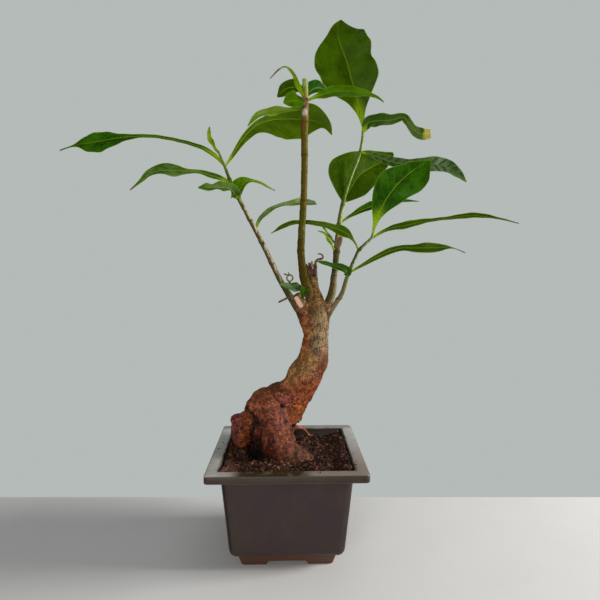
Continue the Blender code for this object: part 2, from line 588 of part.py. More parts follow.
def soil_height(x, y):
    """The soil's surface: a low mound round the trunk, uneven, with coarse grains."""
    mound = SOIL_MOUND * math.exp(-(x * x + y * y) / SOIL_MOUND_RADIUS ** 2)
    swell = noise.noise(Vector((x, y, 0)) / SOIL_SWELL_SPACING) * SOIL_SWELL
    grain = noise.noise(Vector((x, y, 0)) / SOIL_GRAIN_SPACING) * SOIL_GRAIN
    return SOIL_LEVEL + mound + swell + grain


def build_soil(parts, cutters, surface, seat):
    """A block with a grainy top, cropped to the pot's inside, with a hole where the trunk stands."""
    half = POT_WIDTH / 2
    cells = int(2 * half / SOIL_CELL)
    bm = bmesh.new()
    bmesh.ops.create_grid(bm, x_segments=cells, y_segments=cells, size=half)
    for vert in bm.verts:
        vert.co.z = soil_height(vert.co.x, vert.co.y)
    bmesh.ops.triangulate(bm, faces=bm.faces)
    rim = [edge for edge in bm.edges if edge.is_boundary]
    skirt = bmesh.ops.extrude_edge_only(bm, edges=rim)
    lowered = [item for item in skirt["geom"] if isinstance(item, bmesh.types.BMVert)]
    for vert in lowered:
        vert.co.z = 0.0
    loop = [item for item in skirt["geom"] if isinstance(item, bmesh.types.BMEdge) and item.is_boundary]
    bmesh.ops.contextual_create(bm, geom=loop)
    bmesh.ops.recalc_face_normals(bm, faces=bm.faces)
    to_metres(bm)
    soil = mesh_object("soil", bm, parts, surface)
    box, well = cavity_parts(GAP, POT_HEIGHT + SOIL_MOUND)
    filling = mesh_object("filling", box, cutters)
    join_all(filling, [mesh_object("filling_well", well, cutters)])
    add_boolean(soil, "INTERSECT", as_cutter(filling))
    bake(soil)
    bpy.data.objects.remove(filling, do_unlink=True)
    add_boolean(soil, "DIFFERENCE", seat)
    bake(soil)
    return keep_largest(soil)


def nearest_on(route, point):
    """The point of a stem's centre line that is nearest to a leaf's base."""
    line = smooth_route(route, ROUTE_SAMPLES)[:, :3]
    return line[np.argmin(np.linalg.norm(line - np.array(point), axis=1))]


def blade_sheet(route, sides, faces):
    """The open surface of a leaf: rows across a smooth midrib, folded along it and waved at the edge."""
    length = route_length(route)
    rows = max(FEWEST_ROWS, round(length / ROW_LENGTH) + 1)
    widest = max(max(side) for side in sides)
    across = [-1.0, 0.0, 1.0] if widest < NARROW_LEAF else [-1.0, -0.5, 0.0, 0.5, 1.0]
    spine = smooth_route(route, rows)
    right = smooth_widths(sides[0], rows)
    left = smooth_widths(sides[-1], rows)
    looks = np.array(faces, dtype=float)
    stops = np.linspace(0, 1, len(looks))
    grid = []
    for i in range(rows):
        s = i / (rows - 1)
        along = spine[min(i + 1, rows - 1)] - spine[max(i - 1, 0)]
        along /= np.linalg.norm(along)
        face = np.array([np.interp(s, stops, looks[:, k]) for k in range(3)])
        face -= along * face.dot(along)
        face /= np.linalg.norm(face)
        side = np.cross(along, face)
        row = []
        for u in across:
            half = right[i] if u > 0 else left[i]
            out = half * abs(u)
            swing = math.sin(2 * math.pi * BLADE_WAVES * s + (WAVE_START_RIGHT if u > 0 else WAVE_START_LEFT))
            lift = out * math.sin(BLADE_FOLD) + BLADE_WAVE * swing * u * u * half / widest
            row.append(spine[i] + side * out * math.copysign(math.cos(BLADE_FOLD), u) + face * lift)
        grid.append(row)
    return grid


def build_leaf(name, spec, parts, surface, seats):
    stem, route, sides, faces = spec
    base = nearest_on(STEMS[stem], route[0])
    grid = blade_sheet([tuple(base)] + route[1:], sides, faces)
    bm = bmesh.new()
    weights = bm.verts.layers.deform.verify()
    middle = len(grid[0]) // 2
    verts = []
    for i, row in enumerate(grid):
        line = [bm.verts.new(Vector(point) * MM) for point in row]
        line[middle][weights][0] = (1.0 - i / (len(grid) - 1)) ** MIDRIB_FADE
        if i == 0:
            for vert in line:
                vert[weights][0] = 1.0
        verts.append(line)
    for i in range(len(verts) - 1):
        for j in range(len(verts[0]) - 1):
            a, b = verts[i][j], verts[i][j + 1]
            c, d = verts[i + 1][j + 1], verts[i + 1][j]
            if j < middle:
                bm.faces.new((a, b, c))
                bm.faces.new((a, c, d))
            else:
                bm.faces.new((a, b, d))
                bm.faces.new((b, c, d))
    leaf = mesh_object(name, bm, parts, surface)
    leaf.vertex_groups.new(name="midrib")
    shell = leaf.modifiers.new("Solidify", "SOLIDIFY")
    shell.thickness = MIDRIB_THICKNESS * MM
    shell.offset = 0.0
    shell.vertex_group = "midrib"
    shell.thickness_vertex_group = BLADE_THICKNESS / MIDRIB_THICKNESS
    bake(leaf)
    add_boolean(leaf, "DIFFERENCE", seats[stem])
    bake(leaf)
    return keep_largest(leaf)


def main():
    clear_scene()
    parts = new_collection("baobab_bonsai")
    cutters = new_collection("cutters")
    build_pot(parts, cutters, new_material("pot_plastic"))
    trunk = build_trunk(parts, cutters, new_material("bark"))
    seats = {name: as_cutter(tube(name + "_seat", route, cutters, grow=GAP, longer=GAP))
             for name, route in STEMS.items()}
    for name, route in STEMS.items():
        stem = tube(name, route, parts, surface=new_material(name))
        join_all(stem, [tube("twig", twig, cutters) for twig in STEM_TWIGS.get(name, [])])
        add_boolean(trunk, "DIFFERENCE", seats[name])
    bake(trunk)
    keep_largest(trunk)
    trunk_seat = grown_copy(trunk, cutters, TRUNK_CLEARANCE)
    build_soil(parts, cutters, new_material("soil"), trunk_seat)
    leaf_green = new_material("leaf")
    for name, spec in LEAVES.items():
        build_leaf(name, spec, parts, leaf_green, seats)


main()
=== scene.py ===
"""The looks of a baobab bonsai in its pot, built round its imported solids.

Tables and lengths are in millimetres, as they are for the solids, and MM turns them into metres.
Colours are written as they look on screen, from 0 to 255, and screen() turns them into light.
"""
import math
import random

import bmesh
import bpy
import numpy as np
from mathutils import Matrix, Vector, noise


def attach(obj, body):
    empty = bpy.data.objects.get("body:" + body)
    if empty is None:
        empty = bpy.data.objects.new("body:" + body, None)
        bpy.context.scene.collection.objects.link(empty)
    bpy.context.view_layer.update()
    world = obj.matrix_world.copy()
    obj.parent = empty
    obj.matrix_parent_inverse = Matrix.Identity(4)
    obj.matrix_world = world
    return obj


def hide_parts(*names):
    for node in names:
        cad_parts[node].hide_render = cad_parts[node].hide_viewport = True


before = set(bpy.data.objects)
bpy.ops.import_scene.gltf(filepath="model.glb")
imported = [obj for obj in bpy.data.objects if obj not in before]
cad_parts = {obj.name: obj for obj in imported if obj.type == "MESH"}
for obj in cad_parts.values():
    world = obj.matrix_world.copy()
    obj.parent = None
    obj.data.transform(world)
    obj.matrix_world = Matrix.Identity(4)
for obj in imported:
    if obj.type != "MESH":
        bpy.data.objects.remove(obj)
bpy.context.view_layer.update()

MM = 0.001
BODY = "root"

# The photo is 600 pixels square and was taken by a level camera whose frame is shifted down
PHOTO_SIZE = 600
FOCAL_PIXELS = 500.8
HORIZON_ROW = 272.8
EYE = (0.6, -522.5, 278.8)
TURN_DEG = 1.39
SENSOR = 36.0

# Studio: the grey seen behind the part, the light from all round, and soft lamps in metres and watts, each
# with its place, its aim, its size, its power and its colour
BACKDROP = (181, 187, 184)
WORLD_COLOUR = (0.93, 0.98, 1.0, 1.0)
WORLD_LIGHT = 0.16
LIGHTS = [
    ("window", (1.6, -0.05, 0.56), (0.0, 0.0, 0.12), 0.5, 36.0, (1.0, 0.98, 0.95)),
    ("ceiling", (0.2, 0.1, 1.8), (0.0, 0.0, 0.2), 1.2, 2.5, (1.0, 1.0, 1.0)),
    ("front", (-0.35, -1.5, 0.3), (0.0, 0.0, 0.25), 0.9, 17.0, (1.0, 0.98, 0.95)),
]
TABLE_BACK = 100.0
TABLE_REACH = 1800.0
TABLE_THICKNESS = 30.0
TABLE_MOTTLE = 60.0

# Pot
POT_WIDTH = 150.0
POT_HEIGHT = 97.0
LIP_HEIGHT = 7.3
LIP_LOW = POT_HEIGHT - LIP_HEIGHT
LIP_COVE = 0.6
FLANGE_WIDTH = 12.2
OPENING_HALF = POT_WIDTH / 2 - FLANGE_WIDTH
FLANGE_SLOPE_DEPTH = 3.5
BODY_TOP = POT_HEIGHT - FLANGE_SLOPE_DEPTH / 2
BODY_TOP_HALF = 62.8
BODY_LOW_HALF = 54.3
BODY_LOW = 11.5
WALL = 1.8
BODY_CORNER = 7.5
OPENING_CORNER = 4.0
RIM_CORNER = 4.0
RIM_EDGE = 1.0
LEAST_CORNER = 0.3
PLINTH_LOW_HALF = 43.9
PLINTH_TOP_HALF = 47.5
PLINTH_CORNER = 2.8
FOOT_HEIGHT = 4.5
FOOT_EDGE = 0.7
ARCH_HALF_TOP = 18.0
ARCH_HALF_LOW = 20.5
DRAIN_RADIUS = 4.0
DRAIN_SPACING = 28.0
DRAIN_SIDES = 20
CORNER_STEPS = 7
SIDE_STEPS = 6
FILLET_STEPS = 5
WALL_RINGS = 8
POT_CREASE = math.radians(32)
# Where the painted shade under the lip starts on the wall, where it turns brown towards the plinth, and the
# stain on the front rim: the middle of its width, where it fades sideways, and where it fades towards the
# edge
UNDER_LIP = 70.0
PLINTH_TONE = (13.0, 8.0)
STAIN_MIDDLE = -14.0
STAIN_FADE = (40.0, 26.0)
STAIN_DEPTH = (-56.0, -63.0)

# Soil: a low mound with swells and finer relief, each as its spacing and its height
SOIL_LEVEL = 91.0
SOIL_MOUND = 2.5
SOIL_MOUND_RADIUS = 40.0
SOIL_SWELL = 1.3
SOIL_SWELL_SPACING = 26.0
SOIL_RELIEF = [(11.0, 1.5), (5.0, 1.3), (2.4, 0.9), (1.3, 0.5)]
SOIL_HALF = 60.4
SOIL_CELLS = 140
SOIL_SKIRT = 12.0
# Hollows in the soil: (x, y, how wide, how deep), where a depth under zero is a heap
SOIL_HOLLOWS = [(-31, -14, 7, 9), (20, 30, 9, 1.5), (-10, -38, 13, -1.6), (-47, -4, 8, -5)]
# The soil lies higher along the pot's left and right walls, and lower at the back
SOIL_BANK = 5.2
SOIL_BANK_START = 46.0
SOIL_BACK_DROP = 2.2
SOIL_BACK_START = 20.0
# The black cave under the roots, which is painted shade, and how far that painted shade reaches over the
# soil
CAVE = (-32.0, -6.0, 98.0)
CAVE_REACH = 15.0
SEED = 7
# Loose crumbs: how many, least and greatest radius, how long they may be, and their colours. These are
# earth, grit, bits of bark, bits of straw and fine grit.
CRUMBS = [
    (3000, 0.35, 1.7, 1.5,
     [(64, 38, 25), (96, 60, 42), (34, 20, 14), (136, 94, 70), (80, 50, 44), (20, 12, 8)]),
    (70, 0.3, 0.8, 1.3, [(150, 124, 104), (180, 160, 142), (126, 96, 84)]),
    (230, 0.5, 2.0, 2.8, [(122, 64, 46), (104, 56, 44), (136, 82, 58)]),
    (260, 0.3, 0.8, 3.5, [(152, 118, 90), (128, 98, 74), (160, 120, 104)]),
    (200, 0.25, 0.6, 1.3, [(198, 184, 168), (162, 148, 134), (180, 146, 132)]),
]
# A crumb wider than this has a finer form
FINE_CRUMB = 0.8
# How far a crumb's form varies: its jags, width, height, tilt and shade, and how far it stands out of the
# soil, as a share of its radius
CRUMB_JAG = (0.72, 1.18)
CRUMB_WIDE = (0.75, 1.1)
CRUMB_HIGH = (0.6, 0.95)
CRUMB_TILT = 0.4
CRUMB_SHADE = (0.75, 1.3)
CRUMB_RISE = (0.05, 0.5)
# Dirt on the rim: (x, y, radius, colour)
RIM_DIRT = [(-69, 16, 0.9, (40, 34, 28)), (-71, -4, 0.8, (40, 34, 28)), (-66, 6, 0.5, (60, 50, 40)),
            (30, -68, 0.8, (50, 40, 30)), (65, -50, 0.9, (56, 44, 34)), (66, -42, 0.6, (70, 52, 36)),
            (-67, -30, 0.4, (60, 50, 40)), (64.5, -58, 0.7, (60, 44, 32)), (66, -20, 0.5, (56, 44, 34))]
DIRT_JAG = (0.7, 1.2)
DIRT_RISE = 0.35

# Trunk
TRUNK_VOXEL = 1.25
TRUNK_SMOOTH_PASSES = 9
LIMB_STEP = 3.0
LIMB_SIDES = 28
# Each limb is a route of (x, y, z, radius)
TRUNK_LIMBS = {
    "bole": [(-10, 8, 116, 15), (3, 9, 136, 15.4), (12, 8, 156, 17), (18.8, 5, 172, 18.2),
        (24.8, 4, 184, 15.3), (28.4, 3, 196, 14.8), (30.6, 2, 219, 12.5), (31, 1, 238, 12),
        (29.5, 0, 250, 9), (28, 1, 258, 7.5)],
    "dead stub": [(30, 2, 246, 9.5), (27.5, 3, 258, 7.5), (26, 4, 270, 6.2), (26, 4, 281, 5.8)],
    "cut branch": [(23, -2, 238, 6.5), (14, -7, 249, 5.6), (9.5, -9, 257, 5)],
    "left collar": [(27, 0, 218, 10.5), (21, -2, 228, 8.5), (14, -4, 240, 6), (6, -6, 252, 3.8)],
    "right collar": [(36, 2, 225, 8), (41.5, 1, 238, 5), (47, 0, 247, 3.5)],
    "front root": [(-21, 1, 146, 13), (-19, -2, 138, 17), (-15, -7, 123, 17), (-10, -12, 109, 17.5),
        (-2, -17, 98, 15.5), (10, -19, 92, 11.5), (24, -16, 87, 8)],
    "back root": [(4, 14, 134, 14), (-4, 24, 112, 12), (-6, 30, 90, 10)],
    "left root": [(-30, 8, 128, 12.5), (-47, 13, 116, 11.5), (-48, 13, 106, 11.5), (-49, 13, 92, 7.5)],
    "tap root": [(-12, 6, 104, 17), (-10, 4, 76, 15)],
}
TRUNK_KNOBS = [
    (-22, 4, 139.5, 19), (-8, 6, 146, 18), (-31, 0, 114, 8), (-30, 27, 110, 14), (-8, 32, 104, 14),
    (-47, 13, 116, 12.2), (-53, 9, 123, 6.8), (-13, -24, 109, 8), (-32, -4, 139, 12.5), (8, 14, 128, 10),
    (-2, 3, 160, 7.5),
]
THIN_ROOT = [(0, 16, 112, 2.2), (7.5, 30, 109.5, 1.8), (18, 46, 101.5, 1.5), (26, 57, 90, 1.1)]
THIN_ROOT_COLOUR = (118, 66, 52)
DRY_CURL = [(29, 2, 278, 1.6), (30, 1, 289.5, 1.3), (31.6, 0, 292.7, 1.1), (35.2, -1, 293.2, 1.0),
            (37.3, -1, 295.3, 1.0), (35.7, -2, 297.9, 0.8), (32.1, -2, 298.6, 0.6)]
DRY_CURL_COLOUR = (66, 54, 46)
# The dead stub is ragged: where its fibres start, how far from its middle, how many there are, how far
# their tips lean, and how long and thick they are at least and at most
STUB_TOP = (26.0, 4.0, 275.0)
STUB_SPREAD = 4.6
GOLDEN_SHARE = 0.618034
FIBRES = 26
FIBRE_LEAN = (2.2, 1.5)
FIBRE_LENGTH = (9.0, 17.0)
FIBRE_RADIUS = (1.0, 2.6)
FIBRE_STEP = 1.2
FIBRE_SIDES = 10
FIBRE_COLOURS = [(74, 54, 44), (120, 98, 84), (172, 156, 138), (50, 36, 28), (98, 66, 52)]

# Relief of the bark: the spacing and the height of its knobs, lumps, grain and rings, then the spacing, the
# width, the depth and the painted shade of its furrows, and how much smoother the bark is above its knobbly
# part
BARK_KNOBS = (11.0, 1.1)
BARK_LUMPS = (4.6, 1.0)
BARK_GRAIN = (2.3, 0.5)
BARK_RINGS = (3.4, 0.4)
FURROWS = (6.5, 0.05, 0.7, 0.75)
SMOOTHER = 0.85
# Relief of the thin root and of the stub's fibres: its spacing, and its height in mm and in radii
ROOT_KNOTS = (2.5, 0.4)
FIBRE_STRINGS = (1.6, 0.5)
# What is carved into the trunk's front: a route of (x, z), how wide and how deep
CREASES = [
    ([(-18.5, 161.5), (-14.5, 155.5), (-11.5, 150), (-7.5, 146), (-4.5, 142)], 1.3, 1),
    ([(-7.5, 145), (-3.5, 141.5), (2, 140.5)], 1.2, 2),
    ([(-3.5, 141), (-3.5, 135), (-2.5, 128.5), (1, 121.5)], 1.2, 0.9),
    ([(-44, 144), (-40, 139), (-36, 136), (-33, 131), (-29, 126.5), (-20.5, 124.5)], 1.6, 2.6),
    ([(-31, 128), (-35, 122), (-37, 115), (-37, 105.5)], 1.7, 2.6),
    ([(-25.5, 125.5), (-26.5, 118.5), (-27.5, 111.5), (-25.5, 103.5)], 1.5, 1.6),
    ([(-48, 131), (-49, 126), (-51, 119.5), (-56.5, 117.5)], 1.2, 1),
    ([(-20, 110.5), (-17, 108), (-11, 108), (-8, 110.5)], 0.9, 1.5),
    ([(5, 160), (10, 156), (12, 149.5)], 0.9, 0.5),
]
# Round dents and lumps at (x, z): how wide and how deep or high
PITS = [(-3.5, 141, 1.6, 1.2), (-1, 128.5, 2.6, 1.2), (-25.5, 130.5, 1.6, 1.2), (7, 117.5, 2.2, 2),
        (-13.5, 113.5, 2, 1.1), (-42, 142.5, 1.4, 1.2), (-20.5, 140, 0.9, 0.8), (11, 143.5, 1, 0.5)]
LUMPS = [(-14, 116.5, 4.2, 1), (-54.5, 127, 3.2, 1.2), (4, 152.5, 4.5, 0.9), (-24.5, 158, 4.5, 0.7),
         (24.5, 207, 3, 0.5), (31.5, 248, 3, 0.7), (40, 181.5, 8, 2.4), (8, 187.5, 6, -1.6),
         (13, 126.5, 5, -3)]
# The depths at which the painted shade in a crease and in a pit turns black all through
BLACK_CREASE = 2.4
BLACK_PIT = 1.8
# Colours of the bark round (x, z), with how wide and how high each spreads, then the colour where none is
# near, its weight, and how far the borders between the colours wander
TINTS = [
    (29.5, 205, 7, 20.5, (92, 80, 58)), (19, 212, 4.5, 18.5, (118, 76, 44)),
    (36.5, 181.5, 5, 14.5, (84, 46, 24)), (23.5, 189.5, 6, 10, (114, 90, 58)),
    (11, 179.5, 8, 9, (116, 92, 60)), (31.5, 167, 7, 12.5, (88, 48, 28)), (3, 169, 8, 7, (122, 90, 58)),
    (15, 164, 7, 7, (106, 60, 42)), (22.5, 150.5, 6, 10, (100, 54, 24)), (10, 154, 5, 7, (114, 64, 48)),
    (-2.5, 157, 8, 7, (94, 56, 46)), (-15.5, 161, 3, 4, (74, 42, 44)), (-1.5, 147.5, 4, 4, (112, 56, 56)),
    (11, 137, 9, 8, (106, 62, 34)), (-22.5, 152, 14, 8, (106, 64, 46)), (-14, 141.5, 10, 8, (84, 46, 34)),
    (-19.5, 161.5, 8, 3, (102, 76, 46)), (-38, 147.5, 5, 5, (110, 66, 50)),
    (-12, 127.5, 10, 9, (92, 54, 44)), (-44, 112.5, 4.5, 12.5, (100, 58, 36)),
    # The first tint on the next line, near black at (-33, 100), is painted shade in the cave under the roots
    (-33, 100, 6, 6, (12, 7, 6)), (-53.5, 112.5, 3.5, 10.5, (84, 50, 50)),
    (-54.5, 127, 3, 4, (78, 42, 46)), (-32, 115, 5, 8, (76, 40, 38)), (-19, 117.5, 8, 9, (82, 46, 34)),
    (-14, 113.5, 4, 4, (62, 22, 26)), (-1, 113.5, 7, 8, (86, 48, 34)), (12.5, 99.5, 11, 5, (72, 48, 38)),
    (-2, 96.5, 11, 3.5, (72, 48, 38)), (-14, 101.5, 5, 4, (54, 26, 30)),
    (27.5, 249, 12.5, 12.5, (80, 66, 40)), (31, 265, 5, 9.5, (80, 64, 34)),
    (16, 230.5, 4, 10.5, (88, 54, 34)), (11, 238.5, 4, 5, (60, 50, 34)),
    (21.5, 234.5, 4, 12.5, (84, 62, 40)), (39.5, 228, 3.5, 12.5, (84, 68, 48)),
    (39, 206.5, 3.5, 12.5, (92, 76, 52)), (42, 238.5, 3.5, 8.5, (106, 86, 62)),
    (42, 247.5, 2.5, 2.5, (176, 146, 122)), (26.5, 260, 2.5, 4, (118, 66, 30)),
    (19.5, 268.5, 4, 8, (108, 88, 42)), (32, 288, 9.5, 8.5, (84, 68, 56)),
]
PLAIN_BARK = (96, 56, 40)
PLAIN_WEIGHT = 0.08
RAGGED = 2.6
# How the bark's own colour is darkened by painted shade in its hollows and lightened by painted light and
# painted glints on its grain and its ridges, and the grey light that its gloss adds to every colour
BARK_DARK = (0.35, 0.26, 0.21, 1.0)
BARK_LIGHT = (1.03, 0.89, 0.75, 1.0)
BARK_GLINT = (5.0, 4.4, 3.8, 1.0)
BARK_SHEEN = 0.013
# The bark's relief fades between these heights, its colours turn streaked and its rings begin
KNOBBLY = (140.0, 168.0)
STREAKED = (165.0, 195.0)
RINGED = (160.0, 190.0)
# Weathered grey bark lies to the right of x, from the level ring mark up to where it fades
WEATHERED_X = 26.0
WEATHERED_SOFT = 2.5
WEATHERED_MARK = 196.7
WEATHERED_FADE = (228.0, 246.0)
# The pale face of the cut branch: its two ends, its radius and how wide its dark rim is
CUT_FACE = ((9.5, 252.5), (13.8, 245.2), 2.3, 0.9)

# Each stem is a route of (x, y, z, radius), from inside the trunk to its tip, and so is each of its stubs,
# loops and tips
STEM_STEP = 1.5
STEM_SIDES = 18
TWIG_SIDES = 12
# The rings of a rounded end: how far past it and how wide each is, in radii
ROUND_END = [(0.35, 0.84), (0.62, 0.45)]
# Relief of the stems: the spacing and the height of lumps and of rings, in radii, and how far a node's
# swelling reaches up and down
STEM_LUMPS = (3.5, 0.10)
STEM_RINGS = (1.8, 0.06)
NODE_REACH = 2.2
CUT_CREASE = math.radians(50)
CUT_STEM = "stem_leader"
STEMS = {
    "stem_left": [(22.5, -1, 227.5, 4.2), (13, -4, 239, 4.2), (6, -6, 249.5, 3.8), (-1.5, -7, 261.5, 3.2),
        (-9, -8, 274.5, 2.8), (-25.5, -11, 309, 2.5), (-39.5, -15, 336, 2.3), (-49, -17, 354, 2.0),
        (-57.5, -19, 372, 1.6), (-63, -20, 386.5, 1.4), (-69, -21, 400.5, 1.0)],
    "stem_leader": [(25.5, -2, 247.5, 5.0), (21.5, -5, 261, 5.4), (17.5, -8, 272.5, 4.8),
        (15.5, -10, 283.5, 4.0), (14, -11, 300, 3.8), (14.5, -12, 317.5, 3.7), (16, -13, 340.5, 3.5),
        (17, -14, 363, 3.3), (17.5, -14.5, 393.5, 3.4), (17.5, -15, 423.5, 3.6), (18, -15.5, 443.5, 3.6),
        (18, -16, 456.5, 3.1), (18, -16, 474.5, 3.0)],
    "stem_inner": [(38.5, 3, 239.5, 4.6), (44.5, 6, 250, 4.4), (48, 8, 260.5, 4.0), (49.5, 10, 273.5, 3.3),
        (51.5, 12, 287, 3.2), (53, 14, 303.5, 3.3), (54.5, 15, 316, 3.2), (55.5, 16, 329, 2.6),
        (58, 17, 344.5, 2.3), (61.5, 18, 359.5, 2.0), (68, 21, 380, 1.8), (78, 23, 405.5, 1.6),
        (82, 24, 424, 1.5), (83, 24, 439.5, 1.3)],
    "stem_right": [(38.5, -1, 225.5, 3.4), (44, -3, 237.5, 2.9), (51, -5, 248.5, 2.5),
        (56.5, -6, 257.5, 2.3), (60, -8, 269.5, 2.1), (63.5, -9, 280, 1.9), (68.5, -10, 291.5, 1.7),
        (73.5, -10, 301.5, 1.7), (79.5, -11, 308, 1.6), (86, -11, 314, 1.5), (87.5, -12, 318.5, 1.2)],
}
STEM_TWIGS = {
    "stem_left": [[(3.5, -7, 254, 1.3), (-2, -11, 252, 1.1), (-8.5, -13, 249, 0.9)], [(-5, -8, 267.5, 1.2),
        (2.8, -12, 268.4, 1.0), (-0.2, -13, 272.5, 0.9), (0.8, -13, 276, 0.8), (3.8, -13.5, 276.6, 0.8),
        (5.9, -14, 273.5, 0.8), (3.8, -14, 270.4, 0.7)], [(0.8, -13, 275.5, 0.8), (-1, -13.5, 277, 0.8),
        (-3.5, -13, 277.6, 0.5)], [(0.8, -13, 275.5, 0.8), (1.6, -13, 279.4, 0.5)]],
    "stem_inner": [[(54.5, 14, 307.5, 2.6), (56, 12, 311.5, 2.6), (57, 11, 316, 2.3)]],
}
# Heights at which each stem swells a little, and by how much
STEM_NODES = {
    "stem_left": [(288, 0.5), (309, 0.5), (332, 0.4), (355, 0.5), (373, 0.4)],
    "stem_leader": [(302, 0.3), (352, 0.35), (398, 0.3), (431, 0.4), (453, 0.6)],
    "stem_inner": [(276, 0.4), (301, 0.6), (331, 0.5), (352, 0.4), (411, 0.4)],
    "stem_right": [(252, 0.4), (278, 0.5), (302, 0.4)],
}
# Bands of colour up each stem: the height where a band starts, then its painted shade side and its painted
# light side. The first lies under all the others, and each blends in over twice the height of BAND_BLEND.
STEM_BANDS = {
    "stem_left": [(0, (80, 58, 36), (96, 72, 46)), (249, (58, 54, 24), (140, 132, 86)),
        (272, (74, 64, 34), (206, 192, 156)), (345, (66, 72, 26), (160, 158, 112)),
        (358, (58, 82, 6), (84, 100, 30)), (382, (84, 104, 42), (128, 140, 90))],
    "stem_leader": [(0, (86, 64, 36), (100, 78, 46)), (256, (72, 58, 10), (86, 70, 18)),
        (270, (58, 50, 0), (82, 70, 6)), (315, (64, 62, 0), (88, 86, 20)), (345, (72, 62, 2), (98, 84, 26)),
        (400, (78, 64, 8), (100, 88, 30)), (426, (88, 72, 14), (98, 88, 28)),
        (436, (112, 90, 66), (122, 104, 80)), (454, (108, 108, 40), (150, 152, 84)),
        (467, (122, 142, 78), (136, 148, 98))],
    "stem_inner": [(0, (84, 66, 44), (104, 82, 58)), (248, (70, 62, 32), (116, 102, 70)),
        (272, (68, 64, 36), (126, 114, 86)), (280, (52, 54, 18), (76, 80, 38)),
        (292, (64, 58, 20), (76, 74, 32)), (306, (102, 90, 62), (102, 82, 58)),
        (318, (80, 88, 34), (152, 156, 104)), (350, (68, 88, 18), (96, 116, 44)),
        (366, (74, 98, 24), (132, 154, 82)), (392, (90, 108, 44), (150, 164, 112)),
        (424, (104, 120, 52), (122, 136, 78))],
    "stem_right": [(0, (84, 68, 44), (94, 78, 54)), (238, (108, 96, 66), (98, 88, 64)),
        (253, (92, 84, 52), (104, 98, 64)), (270, (84, 90, 38), (96, 100, 52)),
        (286, (62, 66, 32), (142, 148, 108)), (308, (92, 100, 54), (150, 158, 118))],
}
BAND_BLEND = 2.5
# Scars on the stems: their middle, how wide, how high, and their colour
STEM_SCARS = {
    "stem_inner": [((55.5, 12, 321), 1.6, 8, (206, 150, 126)), ((57.5, 14, 307), 2.0, 6, (122, 74, 54))],
    "stem_right": [((42.5, -5, 243), 2.0, 3.5, (196, 168, 148))],
    "stem_leader": [((25, -10, 257), 1.7, 2.2, (106, 62, 26)),
        ((17.5, -18, 441), 2.4, 3.5, (178, 166, 158)), ((16, -18, 428), 2, 3, (96, 52, 30)),
        ((19, -18, 451), 2.2, 4, (112, 66, 50)), ((14, -14, 283), 2.6, 3, (70, 40, 4))],
}

# Leaves of a kind: dark and light green, the green of light that comes through, how much of it does,
# roughness, and how strongly the side veins show
LEAF_KINDS = {
    "olive": ((44, 68, 0), (62, 92, 0), (108, 146, 0), 0.32, 0.42, 0.12),
    "deep": ((24, 60, 0), (54, 104, 4), (80, 138, 0), 0.28, 0.34, 0.25),
    "bright": ((58, 96, 0), (86, 128, 0), (136, 182, 0), 0.36, 0.38, 0.2),
    "silver": ((48, 78, 18), (92, 116, 60), (92, 136, 10), 0.26, 0.32, 0.25),
    "striped": ((26, 62, 2), (138, 158, 122), (84, 130, 10), 0.22, 0.36, 0.5),
    "pale": ((80, 108, 46), (142, 158, 116), (118, 150, 52), 0.24, 0.34, 0.3),
    "blue": ((26, 60, 14), (40, 84, 22), (60, 120, 6), 0.24, 0.32, 0.2),
    "lit": ((90, 120, 16), (136, 156, 72), (156, 194, 12), 0.36, 0.34, 0.2),
    "mid": ((58, 84, 2), (80, 108, 14), (124, 160, 2), 0.34, 0.42, 0.12),
    "dull": ((44, 72, 24), (92, 112, 78), (64, 96, 12), 0.2, 0.45, 0.1),
    "plain": ((32, 62, 4), (50, 84, 18), (64, 104, 4), 0.2, 0.42, 0.05),
    "young": ((84, 112, 0), (122, 146, 16), (146, 182, 0), 0.34, 0.42, 0.1),
}
FAINT_KINDS = ("dull", "plain")
FAINT_LINES = 0.25
# Where the light green sets in on the way from base to tip, and how much of it there is before and after
GREENING = (0.1, 0.45, 0.3, 1.0)
STRIPED_GREENING = (0.5, 0.75, 0.12, 1.0)
DRY_COLOUR = (112, 94, 66)
DRY_COLOURS = {"leaf_inner_droop": (206, 192, 84)}
